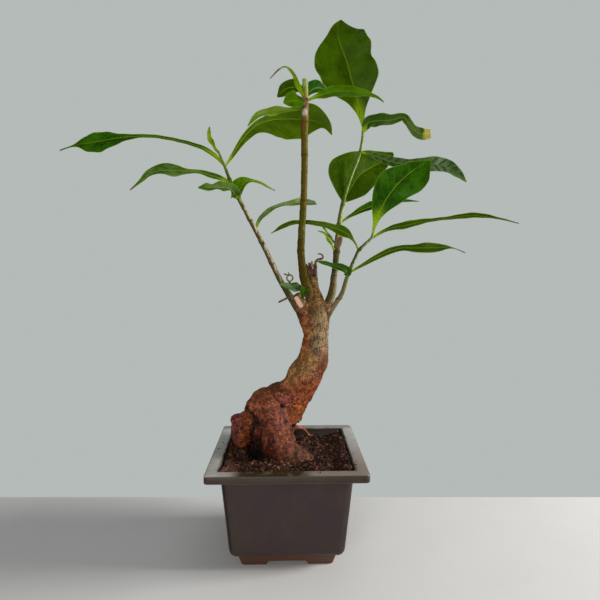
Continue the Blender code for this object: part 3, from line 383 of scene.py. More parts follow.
# Each leaf: its stem, its kind, the share of the way to its tip where it turns dry, how far the lime of its
# stalk runs up the blade, the route of its midrib, the half widths of its two sides at even steps along it
# (the second row is the side that lies to the left of someone who walks up the midrib on the face, and
# is left out where both are alike), and the way that the face looks, from base to tip
LEAVES = {
    "bud_left": ("stem_left", "young", 0.92, 0.2, [(-68.5, -20, 397.5), (-72, -21, 403), (-76, -22, 410),
        (-78, -23, 416.5), (-77, -24, 423.5)], [(0.8, 1.5, 2.2, 2.7, 2, 0.5)], [(0.5, -1, 0)]),
    "leaf_left_long": ("stem_left", "deep", 0.975, 0.2, [(-63.5, -20, 385.5), (-71, -19, 394.5),
        (-82.5, -17, 402.8), (-98, -14, 409), (-119.5, -9, 415), (-141, -5, 418.8), (-164.5, -1, 419),
        (-184.5, 3, 417.5), (-204.5, 7, 415), (-221, 10, 413.5), (-240, 12, 408)],
        [(0.9, 2.6, 2.6, 2.4, 2.2, 2.1, 2.6, 4.6, 9, 8.6, 1.6, 0.7),
        (0.9, 2.6, 2.6, 2.4, 2.2, 2.1, 2.8, 8.5, 16.8, 12, 2, 0.7)], [(0, -0.8, 0.6), (0, -0.9, 0.5),
        (0, -1, 0.3), (-0.1, -1, 0.15)]),
    "leaf_left_low": ("stem_left", "silver", 0.93, 0.15, [(-57, -19, 370), (-65, -20, 372.3),
        (-77, -22, 376), (-88, -25, 378.3), (-99.5, -28, 378.5), (-110.5, -31, 378.5), (-123.5, -34, 377.5),
        (-133, -37, 373), (-139, -40, 367), (-148.5, -45, 357)],
        [(0.9, 3.2, 3.8, 2.6, 3, 7.6, 7.8, 4.4, 1.9, 0.6),
        (0.9, 2.6, 3.6, 2.6, 5.5, 8.3, 5, 3.2, 1.6, 0.4)], [(0, -0.9, 0.5), (-0.1, -0.9, 0.4)]),
    "leaf_left_folded": ("stem_left", "silver", 1.1, 0.15, [(-48.5, -17, 352), (-52, -24, 358),
        (-57.5, -33, 361), (-65, -44, 359.5), (-73.5, -56, 357.5), (-80.5, -64, 356)],
        [(0.9, 6, 7, 7.5, 6, 5, 1.5), (0.9, 6.5, 8.5, 7.5, 8, 7, 1.5)], [(-0.3, -1, 0.2),
        (-0.2, -0.9, 0.4)]),
    "leaf_left_hook": ("stem_left", "bright", 0.95, 0.15, [(-48.5, -16, 353), (-47.5, -14, 362.5),
        (-44.5, -10, 370), (-38.5, -5, 373.5), (-29.5, 0, 373), (-20.5, 5, 369), (-13, 9, 366)],
        [(0.9, 3, 3.5, 1.8, 1.5, 1.2, 0.4), (0.9, 10.5, 7.5, 2.4, 1.5, 1.2, 0.4)], [(0.1, -1, 0.1),
        (0, -0.9, 0.4)]),
    "leaf_left_arch": ("stem_left", "mid", 0.98, 0.12, [(-61, -19, 386), (-54.5, -16, 398.5),
        (-47, -12, 412), (-38.5, -7, 424), (-28.5, -2, 433.5), (-15, 4, 439.5), (1, 9, 442), (17, 14, 443),
        (30, 17, 442), (41, 19, 438), (48.5, 21, 428.5)],
        [(0.9, 2.2, 3.6, 5.5, 8.5, 18.5, 23.5, 24.5, 23, 15, 4.5, 0.4),
        (0.9, 1.7, 2.5, 3.4, 4, 5.2, 8, 10.5, 15, 17, 8.5, 0.4)], [(0.3, -1, 0), (0, -1, 0.05)]),
    "leaf_left_inner": ("stem_left", "pale", 1.1, 0.15, [(-31, -13, 323.5), (-27.5, -10, 333.5),
        (-19.5, -3, 342), (-6.5, 6, 350), (11.5, 14, 353.5), (31, 22, 354.5)],
        [(0.9, 3, 3.4, 3.3, 3.4, 4.6, 6.8, 3)], [(-0.5, -0.8, 0.3), (0, -0.75, 0.65)]),
    "leaf_base_left": ("stem_leader", "dull", 1.1, 0.1, [(17, -8, 260), (10, -14, 263.5), (3, -19, 264.5),
        (-4, -22, 266.5), (-8, -23, 267.5)], [(0.9, 3.5, 5, 5, 3, 0.6)], [(0, -0.9, 0.5)]),
    "leaf_base_front": ("stem_leader", "plain", 1.1, 0.1, [(20.5, -8, 263), (18.5, -14, 263.5),
        (16.5, -19, 259), (15, -21, 252.5)], [(0.9, 3.5, 4.5, 0.6)], [(0, -0.9, 0.4)]),
    "leaf_leader_curl": ("stem_leader", "young", 0.72, 0.4, [(16, -16, 454.5), (12, -19, 464.5),
        (8.5, -21, 474), (3, -23, 481), (-2, -24, 484), (-7, -25, 481.5), (-17, -27, 471)],
        [(0.9, 3.2, 2.6, 1.6, 1.2, 0.8, 0.4)], [(-0.9, -0.5, 0.3), (-0.2, -0.7, 0.8)]),
    "leaf_leader_back": ("stem_leader", "olive", 1.1, 0.2, [(16, -15, 463), (9, -6, 469.5),
        (-0.5, 1, 471.5), (-10.5, 7, 465)], [(0.9, 4.5, 8.5, 6.5, 1), (0.9, 5, 9.5, 8.5, 1.5)],
        [(-0.3, -1, 0)]),
    "leaf_leader_far": ("stem_leader", "blue", 1.1, 0.1, [(17, -15, 455), (24.5, -6, 466.5), (32, 2, 472.5),
        (43, 8, 473)], [(0.9, 3, 9.5, 7, 0.6)], [(0, -1, 0.1)]),
    "leaf_leader_small": ("stem_leader", "bright", 1.1, 0.2, [(16, -17, 452.5), (7.5, -24, 449.5),
        (-3.5, -29, 446)], [(0.9, 8, 10.5, 9, 1.5)], [(0, -0.95, 0.3)]),
    "leaf_leader_right": ("stem_leader", "bright", 1.1, 0.3, [(18, -17, 453), (29, -22, 455),
        (40.5, -26, 457), (55, -30, 457.5), (68.5, -33, 456), (79, -35, 453), (87.5, -36, 450),
        (94, -38, 444.5)], [(0.9, 3.4, 7, 10, 9, 6, 2.8, 0.4), (0.9, 2.6, 5.5, 7.2, 6.2, 4, 2.2, 0.4)],
        [(0, -0.9, 0.4)]),
    "leaf_leader_left": ("stem_leader", "lit", 0.97, 0.15, [(16, -16, 445.5), (3, -21, 442),
        (-10, -25, 439), (-21, -28, 436.5), (-30.5, -31, 431.5), (-38.5, -34, 421.5)],
        [(0.9, 2.3, 4.4, 5.2, 3.2, 0.4)], [(0, -0.95, 0.35)]),
    "leaf_inner_top": ("stem_inner", "olive", 1.1, 0.36, [(83.5, 24, 437.5), (80.5, 24, 448.5),
        (77, 23, 464.5), (72.5, 22, 480.5), (68.5, 22, 495.5), (64, 22, 511), (59.5, 22, 523),
        (55.5, 23, 536), (55.5, 24, 546.5), (59, 26, 556.5)],
        [(0.9, 3.7, 8, 15, 23.5, 29.5, 29.5, 27.5, 31.5, 29.5, 27.5, 25.5, 0.5),
        (0.9, 2.5, 6.5, 14.5, 26, 34, 36, 38.5, 37, 28.5, 14, 6.5, 0.5)], [(0.05, -1, -0.1)]),
    "leaf_inner_droop": ("stem_inner", "silver", 0.9, 0.15, [(84, 24, 432), (87.5, 18, 441),
        (96, 12, 441.5), (108.5, 4, 439.5), (121, -2, 441), (125, -6, 434.5), (128.8, -10, 426.5),
        (136.5, -13, 420), (146, -16, 420)], [(0.9, 6.5, 8, 7, 5.6, 4.6, 4.4, 7.5, 5)], [(0, -1, 0.2)]),
    "leaf_inner_round": ("stem_inner", "olive", 1.1, 0.1, [(62, 19, 354.5), (70, 26, 372),
        (79.5, 32, 386.5), (93, 38, 396.5), (108.5, 42, 405), (121, 44, 413.5)],
        [(0.9, 15, 20.5, 20.5, 15.5, 8.5, 0.8), (0.9, 27.5, 35, 27, 19.5, 12.5, 3)], [(0, -1, 0)]),
    "leaf_inner_striped": ("stem_inner", "striped", 0.98, 0.1, [(79.5, 23, 411), (91.5, 18, 406.5),
        (108, 12, 398.5), (125, 7, 394), (140, 3, 393), (157.5, 0, 392), (167.5, -2, 389), (178, -3, 382.5),
        (187, -4, 373.5)], [(0.9, 3.5, 5.5, 5.8, 6.5, 8.3, 8, 6.5, 0.5)], [(0.1, -1, 0.2)]),
    "leaf_inner_hidden": ("stem_inner", "deep", 1.1, 0.15, [(56.5, 17, 331.5), (68, 20, 340),
        (82, 26, 347.5), (96.5, 32, 353), (113, 38, 358.5), (132.5, 44, 360.5), (150.5, 47, 360.5)],
        [(0.9, 2.4, 5, 7.5, 5.5, 3, 0.4)], [(-0.1, -0.8, 0.6)]),
    "leaf_right_glossy": ("stem_right", "deep", 1.1, 0.42, [(87.5, -12, 316.5), (89, -15, 327.5),
        (92.5, -18, 338.5), (98.5, -23, 351.5), (107, -27, 364), (118.5, -30, 375.5), (130, -31, 383.5),
        (142, -31, 390)], [(0.9, 2.3, 6.8, 13.5, 18, 22, 18, 0.6), (0.9, 3, 10, 17, 20, 13, 6.8, 0.5)],
        [(0.1, -1, 0.1), (0, -1, 0.2)]),
    "leaf_right_long": ("stem_right", "olive", 0.93, 0.15, [(85.5, -11, 313), (96.5, -8, 320),
        (108.5, -5, 325), (126, -2, 328.5), (148, 1, 333), (171.5, 1, 336.5), (192, 0, 338.5),
        (210, -3, 337), (226, -6, 334), (240, -9, 330)], [(0.9, 2.5, 4.6, 4, 3, 2.8, 3.4, 3.4, 2, 0.4)],
        [(-0.1, -0.8, 0.7), (0.1, -0.8, 0.7)]),
    "leaf_right_low": ("stem_right", "olive", 0.92, 0.12, [(63.5, -10, 278.5), (75, -13, 285.5),
        (86, -17, 292), (99, -23, 298.5), (112, -28, 303), (126, -32, 303), (139.5, -36, 303),
        (149, -38, 303), (155, -40, 303.5), (163, -42, 302), (171, -45, 298)],
        [(0.9, 1.6, 2.4, 3, 3.8, 4, 4.8, 6, 4.8, 0.7, 0.4),
        (0.9, 1.6, 2.4, 3, 3.6, 3.4, 4.2, 5.2, 3.8, 0.7, 0.4)], [(-0.1, -0.9, 0.5), (0.1, -0.95, 0.4)]),
    "leaf_right_across": ("stem_right", "mid", 1.1, 0.1, [(73.5, -10, 301), (69.5, -10, 309.5),
        (62.5, -9, 318), (50.5, -5, 324), (34, 0, 329.5), (16.5, 4, 331.5), (-0.5, 9, 328.5),
        (-17.5, 13, 321)], [(0.9, 1.5, 6.3, 4, 3.2, 3.8, 4.8, 4.2, 0.4)], [(-0.4, -0.9, 0.2),
        (0, -0.45, 0.9)]),
    "leaf_right_short": ("stem_right", "plain", 1.1, 0.1, [(62, -9, 274.5), (61, -13, 280), (53, -18, 284),
        (42.5, -23, 286.5), (29.5, -26, 290.5)], [(0.9, 5, 4.6, 3.6, 3.2, 2.4, 0.8)], [(0, -1, 0.2),
        (0, -0.75, 0.7)]),
    "sprout_high": ("stem_inner", "young", 1.1, 0.2, [(52.5, 15, 309), (47.5, 12, 314.5), (42.5, 9, 321),
        (36.5, 6, 329)], [(0.8, 1.5, 1.4, 0.5)], [(0, -1, 0.3)]),
    "sprout_low": ("stem_inner", "young", 1.1, 0.2, [(51, 14, 301), (45.5, 6, 310), (39, 0, 319.5),
        (32, -3, 322.5)], [(0.8, 1.5, 1.4, 0.5)], [(0, -1, 0.3)]),
}

# Leaf form
BLADE_COLUMNS = (-1.0, -0.94, -0.82, -0.66, -0.48, -0.3, -0.15, -0.06, 0.0, 0.06, 0.15, 0.3, 0.48, 0.66,
                 0.82, 0.94, 1.0)
BLADE_ROW = 1.7
BLADE_LEAST_ROWS = 24
BLADE_THICKNESS = 0.55
BLADE_EDGE = 0.28
BLADE_FOLD = math.radians(16)
BLADE_CREASE = math.radians(60)
BLADE_WAVE = 1.2
BLADE_WAVES = 2.5
WAVE_START_RIGHT = 1.0
WAVE_START_LEFT = 2.6
EDGE_RIPPLE = 0.7
EDGE_RIPPLE_LENGTH = 17.0
VEIN_SPACING = 8.5
VEIN_LEAN = 0.62
VEIN_SHIFT = 0.45
QUILT = 1.0
# The midrib: the groove on the face, and how deep and how wide the rib is under it, at the tip and by how
# much more at the base
GROOVE_DEPTH = 0.25
GROOVE_HALF = 0.9
RIB_DEPTH = (0.25, 1.5)
RIB_HALF = (0.5, 0.7)
CURVE_STEPS = 12
ROUTE_SAMPLES = 200


def screen(red, green, blue):
    """A colour as it looks on screen, as linear light."""
    def linear(value):
        value /= 255
        return value / 12.92 if value <= 0.04045 else ((value + 0.055) / 1.055) ** 2.4
    return (linear(red), linear(green), linear(blue), 1.0)


def smoothstep(low, high, value):
    t = np.clip((np.asarray(value, float) - low) / (high - low), 0, 1)
    return t * t * (3 - 2 * t)


class Surface:
    """A material round one shader, whose nodes are added by short calls. Texture scales are per mm."""

    def __init__(self, name, roughness, specular):
        self.material = bpy.data.materials.new(name)
        self.material.use_nodes = True
        self.tree = self.material.node_tree
        self.shader = self.tree.nodes["Principled BSDF"]
        self.set("Roughness", roughness)
        self.set("Specular IOR Level", specular)
        self.place = self.vector("MULTIPLY", self.add("ShaderNodeTexCoord", out="Object"), (1 / MM,) * 3)

    def add(self, kind, inputs=None, out=0, **settings):
        """A new node with the given settings and inputs; gives back one of its outputs."""
        node = self.tree.nodes.new(kind)
        for key, value in settings.items():
            setattr(node, key, value)
        for key, value in (inputs or {}).items():
            self.feed(node.inputs[key], value)
        return node.outputs[out]

    def feed(self, socket, value):
        if isinstance(value, bpy.types.NodeSocket):
            self.tree.links.new(value, socket)
        else:
            socket.default_value = value

    def set(self, name, value):
        self.feed(self.shader.inputs[name], value)

    def attribute(self, name, out="Vector"):
        return self.add("ShaderNodeAttribute", out=out, attribute_name=name)

    def parts(self, vector):
        node = self.tree.nodes.new("ShaderNodeSeparateXYZ")
        self.feed(node.inputs[0], vector)
        return node.outputs[:]

    def vector(self, operation, a, b=(0, 0, 0), out=0):
        return self.add("ShaderNodeVectorMath", {0: a, 1: b}, out, operation=operation)

    def away_from(self, centre, sizes=(1, 1, 1)):
        """How far the surface is from a point, in mm or in shares of three sizes."""
        offset = self.vector("SUBTRACT", self.place, centre)
        return self.vector("LENGTH", self.vector("DIVIDE", offset, sizes), out="Value")

    def noise(self, spacing, detail=3.0, rough=0.5, distortion=0.0, rise=1.0):
        """Smooth noise from 0 to 1, whose lumps are about a spacing apart. A low rise draws them upwards."""
        return self.add("ShaderNodeTexNoise", {
            "Vector": self.vector("MULTIPLY", self.place, (1, 1, rise)), "Scale": 1 / spacing,
            "Detail": detail, "Roughness": rough, "Distortion": distortion})

    def cells(self, spacing, rise):
        """How far the nearest of many scattered points is, as a share of their spacing."""
        place = self.vector("MULTIPLY", self.place, (1, 1, rise))
        return self.add("ShaderNodeTexVoronoi", {"Vector": place, "Scale": 1 / spacing})

    def math(self, operation, a, b=0.0):
        return self.add("ShaderNodeMath", {0: a, 1: b}, operation=operation)

    def plus(self, a, b):
        return self.math("ADD", a, b)

    def minus(self, a, b):
        return self.math("SUBTRACT", a, b)

    def times(self, a, b):
        return self.math("MULTIPLY", a, b)

    def off(self, value, middle):
        """How far a value is from a middle, either way."""
        return self.math("ABSOLUTE", self.minus(value, middle))

    def span(self, value, low, high, start=0.0, end=1.0, smooth=True):
        """Turns a value between low and high into one between start and end, and holds it there."""
        return self.add("ShaderNodeMapRange", {
            "Value": value, "From Min": low, "From Max": high, "To Min": start, "To Max": end},
            interpolation_type="SMOOTHSTEP" if smooth else "LINEAR", clamp=True)

    def ramp(self, value, *stops):
        node = self.tree.nodes.new("ShaderNodeValToRGB")
        self.feed(node.inputs[0], value)
        elements = node.color_ramp.elements
        for element, (position, colour) in zip(elements[:], (stops[0], stops[-1])):
            element.position = position
            element.color = screen(*colour)
        for position, colour in stops[1:-1]:
            elements.new(position).color = screen(*colour)
        return node.outputs[0]

    def mix(self, share, a, b, blend="MIX"):
        """Mixes two colours. One of three numbers is as on screen, and one of four is linear light."""
        node = self.tree.nodes.new("ShaderNodeMix")
        node.data_type = "RGBA"
        node.blend_type = blend
        self.feed(node.inputs[0], share)
        for socket, colour in ((node.inputs[6], a), (node.inputs[7], b)):
            self.feed(socket, screen(*colour) if isinstance(colour, tuple) and len(colour) == 3 else colour)
        return node.outputs[2]

    def tinge(self, colour, shade, value, low, high, most=1.0):
        """Lays a shade over a colour, from none of it where a value is low to the most where it is high."""
        return self.mix(self.span(value, low, high, 0, most), colour, shade)

    def bump(self, height, distance, strength=1.0):
        """Relief of a given height in mm, where the map goes from 0 to 1."""
        before = self.shader.inputs["Normal"]
        inputs = {"Height": height, "Distance": distance * MM, "Strength": strength}
        if before.is_linked:
            inputs["Normal"] = before.links[0].from_socket
        self.tree.links.new(self.add("ShaderNodeBump", inputs), before)

    def let_light_through(self, share, colour):
        """Part of the light goes through to the other side, as in a leaf."""
        soft = self.add("ShaderNodeBsdfTranslucent", {"Color": colour})
        both = self.add("ShaderNodeMixShader", {0: share, 1: self.shader.outputs[0], 2: soft})
        self.tree.links.new(both, self.tree.nodes["Material Output"].inputs[0])


class Shape:
    """Closed forms in millimetres, gathered to make one mesh."""

    def __init__(self):
        self.points = []
        self.faces = []
        self.layers = {}

    def add(self, points, faces, **layers):
        """Adds a form. Each layer holds three numbers a point for its material to read."""
        start = len(self.points)
        self.points.extend(np.asarray(points, float).tolist())
        self.faces.extend(tuple(start + i for i in face) for face in faces)
        for name, values in layers.items():
            self.layers.setdefault(name, []).extend(np.asarray(values, float).tolist())

    def object(self, name):
        return add_object(name, make_mesh(name, self.points, self.faces, **self.layers))


def make_mesh(name, points, faces, **layers):
    mesh = bpy.data.meshes.new(name)
    mesh.from_pydata((np.asarray(points, float) * MM).tolist(), [], faces)
    mesh.update()
    mesh.shade_smooth()
    for label, values in layers.items():
        layer = mesh.attributes.new(label, "FLOAT_VECTOR", "POINT")
        layer.data.foreach_set("vector", np.asarray(values, np.float32).ravel())
    return mesh


def add_object(name, mesh):
    made = bpy.data.objects.new(name, mesh)
    bpy.context.scene.collection.objects.link(made)
    return made


def finish_piece(obj, mat, slot, *nodes):
    """Dresses a piece, joins it to the part's body and lets it stand for its nodes."""
    obj.data.materials.clear()
    obj.data.materials.append(mat.material)
    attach(obj, BODY)
    if nodes:
        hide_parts(*nodes)


def bake(obj):
    """Makes the modifiers of an object permanent."""
    shaped = obj.evaluated_get(bpy.context.evaluated_depsgraph_get())
    mesh = bpy.data.meshes.new_from_object(shaped)
    obj.modifiers.clear()
    obj.data = mesh


def cut_away(obj, cutters):
    """Takes each cutter's room out of an object, and removes the cutters."""
    for cutter in cutters:
        step = obj.modifiers.new("Cut", "BOOLEAN")
        step.operation = "DIFFERENCE"
        step.solver = "EXACT"
        step.object = cutter
    bake(obj)
    for cutter in cutters:
        bpy.data.objects.remove(cutter, do_unlink=True)


def curve_through(knots):
    """A smooth curve through all the knots, with an even number of steps between each two."""
    ends = np.vstack([2 * knots[0] - knots[1], knots, 2 * knots[-1] - knots[-2]])
    fine = []
    for i in range(len(knots) - 1):
        p0, p1, p2, p3 = ends[i:i + 4]
        for t in np.linspace(0, 1, CURVE_STEPS, endpoint=False):
            fine.append(0.5 * (2 * p1 + (p2 - p0) * t + (2 * p0 - 5 * p1 + 4 * p2 - p3) * t * t
                               + (3 * p1 - p0 - 3 * p2 + p3) * t ** 3))
    fine.append(knots[-1])
    return np.array(fine)


def smooth_route(points, count):
    """Points at even distances along a smooth curve through the given ones."""
    fine = curve_through(np.array(points, float))
    reach = np.concatenate([[0], np.cumsum(np.linalg.norm(np.diff(fine[:, :3], axis=0), axis=1))])
    wanted = np.linspace(0, reach[-1], count)
    return np.column_stack([np.interp(wanted, reach, column) for column in fine.T])


def smooth_widths(widths, count):
    """Half widths at even steps, eased between the given ones and nowhere under the least of them."""
    fine = curve_through(np.array(widths, float).reshape(-1, 1))[:, 0]
    return np.maximum(np.interp(np.linspace(0, 1, count), np.linspace(0, 1, len(fine)), fine), min(widths))


def route_length(points):
    knots = np.array(points, float)[:, :3]
    return float(np.linalg.norm(np.diff(knots, axis=0), axis=1).sum())


def unit(rows):
    return rows / np.maximum(np.linalg.norm(rows, axis=-1, keepdims=True), 1e-9)


def frames_along(line):
    """The direction of a line at each of its points, and two directions across it that turn little."""
    ahead = unit(np.gradient(line, axis=0))
    across = [np.cross(ahead[0], (0.2, 1.0, 0.1))]
    for direction in ahead[1:]:
        across.append(across[-1] - direction * np.dot(across[-1], direction))
        across[-1] /= np.linalg.norm(across[-1])
    across = unit(np.array(across))
    return ahead, across, np.cross(ahead, across)


def ring_faces(rings, around):
    """Quads between rings of points, with the first and the last ring closed."""
    faces = []
    for i in range(rings - 1):
        for j in range(around):
            k = (j + 1) % around
            faces.append((i * around + j, i * around + k, (i + 1) * around + k, (i + 1) * around + j))
    faces.append(tuple(reversed(range(around))))
    faces.append(tuple((rings - 1) * around + j for j in range(around)))
    return faces


def value_noise(points, spacing, seed=0.0):
    """Smooth noise from about -1 to 1 at each point."""
    shift = Vector((seed * 7.3, seed * 3.1, seed * 5.7))
    return np.array([noise.noise(Vector(p) / spacing + shift) for p in points])


def relief_noise(points, look, seed=0.0):
    """Smooth noise at each point, of a given spacing and height."""
    spacing, height = look
    return value_noise(points, spacing, seed) * height


def sweep(route, step, around, relief=None, round_end=True):
    """A round tube along a route of (x, y, z, radius): its points and its faces.

    relief takes the points and the radii, and gives how far each point is moved outwards.
    """
    stops = smooth_route(route, max(4, int(route_length(route) / step) + 1))
    line, radii = stops[:, :3], stops[:, 3].copy()
    ahead, across, up = frames_along(line)
    if round_end:
        reaches, ends = radii[-1] * np.array(ROUND_END).T
        line = np.vstack([line, [line[-1] + ahead[-1] * reach for reach in reaches]])
        radii = np.append(radii, ends)
        across = np.vstack([across, across[-1], across[-1]])
        up = np.vstack([up, up[-1], up[-1]])
    angles = np.linspace(0, 2 * math.pi, around, endpoint=False)
    outward = across[:, None, :] * np.cos(angles)[:, None] + up[:, None, :] * np.sin(angles)[:, None]
    points = (line[:, None, :] + outward * radii[:, None, None]).reshape(-1, 3)
    if relief:
        points = points + outward.reshape(-1, 3) * relief(points, np.repeat(radii, around))[:, None]
    return points, ring_faces(len(line), around)


def grid_faces(rows, columns):
    """Quads over a grid of points, which face up where rows run towards +Y and columns towards +X."""
    corners = [i * columns + j for i in range(rows - 1) for j in range(columns - 1)]
    return [(a, a + 1, a + columns + 1, a + columns) for a in corners]


def slab(top, bottom, rows, columns):
    """A closed body between two grids of points, the second under the first."""
    upper = grid_faces(rows, columns)
    count = rows * columns
    faces = upper + [tuple(count + i for i in reversed(face)) for face in upper]
    last = count - columns
    loop = list(range(columns)) + [i * columns + columns - 1 for i in range(1, rows)]
    loop += list(range(count - 2, last - 1, -1)) + [i * columns for i in range(rows - 2, 0, -1)]
    for here, there in zip(loop, loop[1:] + loop[:1]):
        faces.append((here, count + here, count + there, there))
    return np.vstack([top, bottom]), faces


def icosphere(level):
    bm = bmesh.new()
    bmesh.ops.create_icosphere(bm, subdivisions=level, radius=1.0)
    points = np.array([vert.co[:] for vert in bm.verts])
    faces = [tuple(vert.index for vert in face.verts) for face in bm.faces]
    bm.free()
    return points, faces


def add_world():
    """Even soft light from all round, and the plain grey that the camera sees behind the part."""
    world = bpy.data.worlds.new("studio")
    bpy.context.scene.world = world
    world.use_nodes = True
    tree = world.node_tree
    lit = tree.nodes["Background"]
    lit.inputs["Color"].default_value = WORLD_COLOUR
    lit.inputs["Strength"].default_value = WORLD_LIGHT
    seen = tree.nodes.new("ShaderNodeBackground")
    seen.inputs["Color"].default_value = screen(*BACKDROP)
    path = tree.nodes.new("ShaderNodeLightPath")
    both = tree.nodes.new("ShaderNodeMixShader")
    tree.links.new(path.outputs["Is Camera Ray"], both.inputs[0])
    tree.links.new(lit.outputs[0], both.inputs[1])
    tree.links.new(seen.outputs[0], both.inputs[2])
    tree.links.new(both.outputs[0], tree.nodes["World Output"].inputs[0])


def add_lights():
    for name, place, aim, size, power, colour in LIGHTS:
        light = bpy.data.lights.new(name, "AREA")
        light.size = size
        light.energy = power
        light.color = colour
        made = add_object(name, light)
        made.location = place
        made.rotation_euler = (Vector(aim) - Vector(place)).to_track_quat("-Z", "Y").to_euler()
        made.visible_camera = False


def add_camera():
    lens = bpy.data.cameras.new("camera")
    lens.sensor_width = SENSOR
    lens.lens = SENSOR * FOCAL_PIXELS / PHOTO_SIZE
    lens.shift_y = (HORIZON_ROW - PHOTO_SIZE / 2) / PHOTO_SIZE
    camera = add_object("camera", lens)
    camera.location = Vector(EYE) * MM
    camera.rotation_euler = (math.pi / 2, 0, math.radians(-TURN_DEG))
    bpy.context.scene.camera = camera
    bpy.context.scene.view_settings.view_transform = "Standard"


def add_floor():
    """A pale table top whose back edge shows behind the pot."""
    mat = Surface("table", 0.42, 0.35)
    mat.set("Base Color", mat.mix(mat.noise(TABLE_MOTTLE, 4), (226, 225, 223), (232, 232, 231)))
    mat.bump(mat.noise(0.9, 2), 0.02)
    c, s = math.cos(math.radians(TURN_DEG)), math.sin(math.radians(TURN_DEG))
    corners = [(-TABLE_REACH, -TABLE_REACH), (TABLE_REACH, -TABLE_REACH), (TABLE_REACH, TABLE_BACK),
               (-TABLE_REACH, TABLE_BACK)]
    points = [(x * c + y * s, y * c - x * s, z) for z in (-TABLE_THICKNESS, 0.0) for x, y in corners]
    floor = add_object("floor", make_mesh("floor", points, ring_faces(2, 4)))
    floor.data.shade_flat()
    floor.data.materials.append(mat.material)


def rounded_square(half, corner, height):
    """A level ring of points: a square with rounded corners, from its right front corner to the left."""
    corner = max(corner, LEAST_CORNER)
    inner = half - corner

    def on_corner(quarter, turn):
        sx, sy = [(1, -1), (1, 1), (-1, 1), (-1, -1)][quarter % 4]
        angle = (quarter - 1 + turn) * math.pi / 2
        x, y = sx * inner + corner * math.cos(angle), sy * inner + corner * math.sin(angle)
        return np.array((x, y, height))

    ring = []
    for quarter in range(4):
        ring += [on_corner(quarter, step / CORNER_STEPS) for step in range(CORNER_STEPS + 1)]
        last, following = ring[-1], on_corner(quarter + 1, 0)
        ring += [last + (following - last) * step / SIDE_STEPS for step in range(1, SIDE_STEPS)]
    return ring


def half_at(height, low, high, half_low, half_high):
    return half_low + (half_high - half_low) * (height - low) / (high - low)


def body_half(height):
    """Half the outer width of the pot's wall at a height."""
    return half_at(height, BODY_LOW, BODY_TOP, BODY_LOW_HALF, BODY_TOP_HALF)


def edge_round(half, corner, height, radius, start, end):
    """Rings round a rounded edge, whose middle has this half width, corner and height."""
    rings = []
    for turn in np.radians(np.linspace(start, end, FILLET_STEPS)):
        out = radius * math.cos(turn)
        rings.append((half + out, corner + out, height + radius * math.sin(turn)))
    return rings


def pot_rings():
    """The pot from its feet up the outside, over the rim and down the inside to the well in the plinth."""
    rim = POT_WIDTH / 2 - RIM_EDGE
    rim_corner = RIM_CORNER - RIM_EDGE
    rim_top = POT_HEIGHT - RIM_EDGE
    slope_foot = POT_HEIGHT - FLANGE_SLOPE_DEPTH
    bend = (body_half(BODY_LOW + BODY_CORNER) - BODY_CORNER, 0.0, BODY_LOW + BODY_CORNER)
    well = PLINTH_LOW_HALF - WALL
    rings = [(PLINTH_LOW_HALF - FOOT_EDGE, PLINTH_CORNER, 0.0), (PLINTH_LOW_HALF, PLINTH_CORNER, FOOT_EDGE),
             (PLINTH_TOP_HALF, PLINTH_CORNER, BODY_LOW)]
    rings += edge_round(*bend, BODY_CORNER, -90, 0)
    for height in np.linspace(BODY_LOW + BODY_CORNER, LIP_LOW - LIP_COVE, WALL_RINGS)[1:]:
        rings.append((body_half(height), BODY_CORNER, height))
    rings.append((body_half(LIP_LOW) + LIP_COVE, BODY_CORNER, LIP_LOW))
    rings += edge_round(rim, rim_corner, LIP_LOW + RIM_EDGE, RIM_EDGE, -90, 0)
    rings += edge_round(rim, rim_corner, rim_top, RIM_EDGE, 0, 90)
    rings += edge_round(OPENING_HALF + RIM_EDGE, OPENING_CORNER, rim_top, -RIM_EDGE, -90, -45)
    rings.append((body_half(slope_foot) - WALL, OPENING_CORNER, slope_foot))
    rings += edge_round(*bend, BODY_CORNER - WALL, 0, -90)
    return rings + [(well, PLINTH_CORNER, BODY_LOW + WALL), (well, PLINTH_CORNER, FOOT_HEIGHT + WALL)]


def block(name, corners_low, corners_high, low, high):
    points = [(x, y, low) for x, y in corners_low] + [(x, y, high) for x, y in corners_high]
    return add_object(name, make_mesh(name, points, ring_faces(2, len(corners_low))))


def build_pot():
    """The pot in one piece, with arches between its feet and drain holes in its floor."""
    rings = pot_rings()
    points = [point for ring in rings for point in rounded_square(*ring)]
    faces = ring_faces(len(rings), 4 * (CORNER_STEPS + SIDE_STEPS))
    pot = add_object("bonsai_pot", make_mesh("bonsai_pot", points, faces))
    cutters = []
    reach = PLINTH_TOP_HALF + 1
    for turned in (False, True):
        ends = []
        for half in (half_at(-1, 0, FOOT_HEIGHT, ARCH_HALF_LOW, ARCH_HALF_TOP), ARCH_HALF_TOP):
            square = [(half, -reach), (half, reach), (-half, reach), (-half, -reach)]
            ends.append([(-y, x) for x, y in square] if turned else square)
        cutters.append(block("arch", *ends, -1, FOOT_HEIGHT))
    turns = np.linspace(0, 2 * math.pi, DRAIN_SIDES, endpoint=False)
    for x, y in [(0, 0), (1, 0), (-1, 0), (0, 1), (0, -1)]:
        circle = [(x * DRAIN_SPACING + DRAIN_RADIUS * math.cos(turn),
                   y * DRAIN_SPACING + DRAIN_RADIUS * math.sin(turn)) for turn in turns]
        cutters.append(block("drain", circle, circle, -1, BODY_LOW))
    cut_away(pot, cutters)
    pot.data.shade_smooth()
    pot.data.set_sharp_from_angle(angle=POT_CREASE)
    finish_piece(pot, pot_surface(), "pot_plastic", "pot")


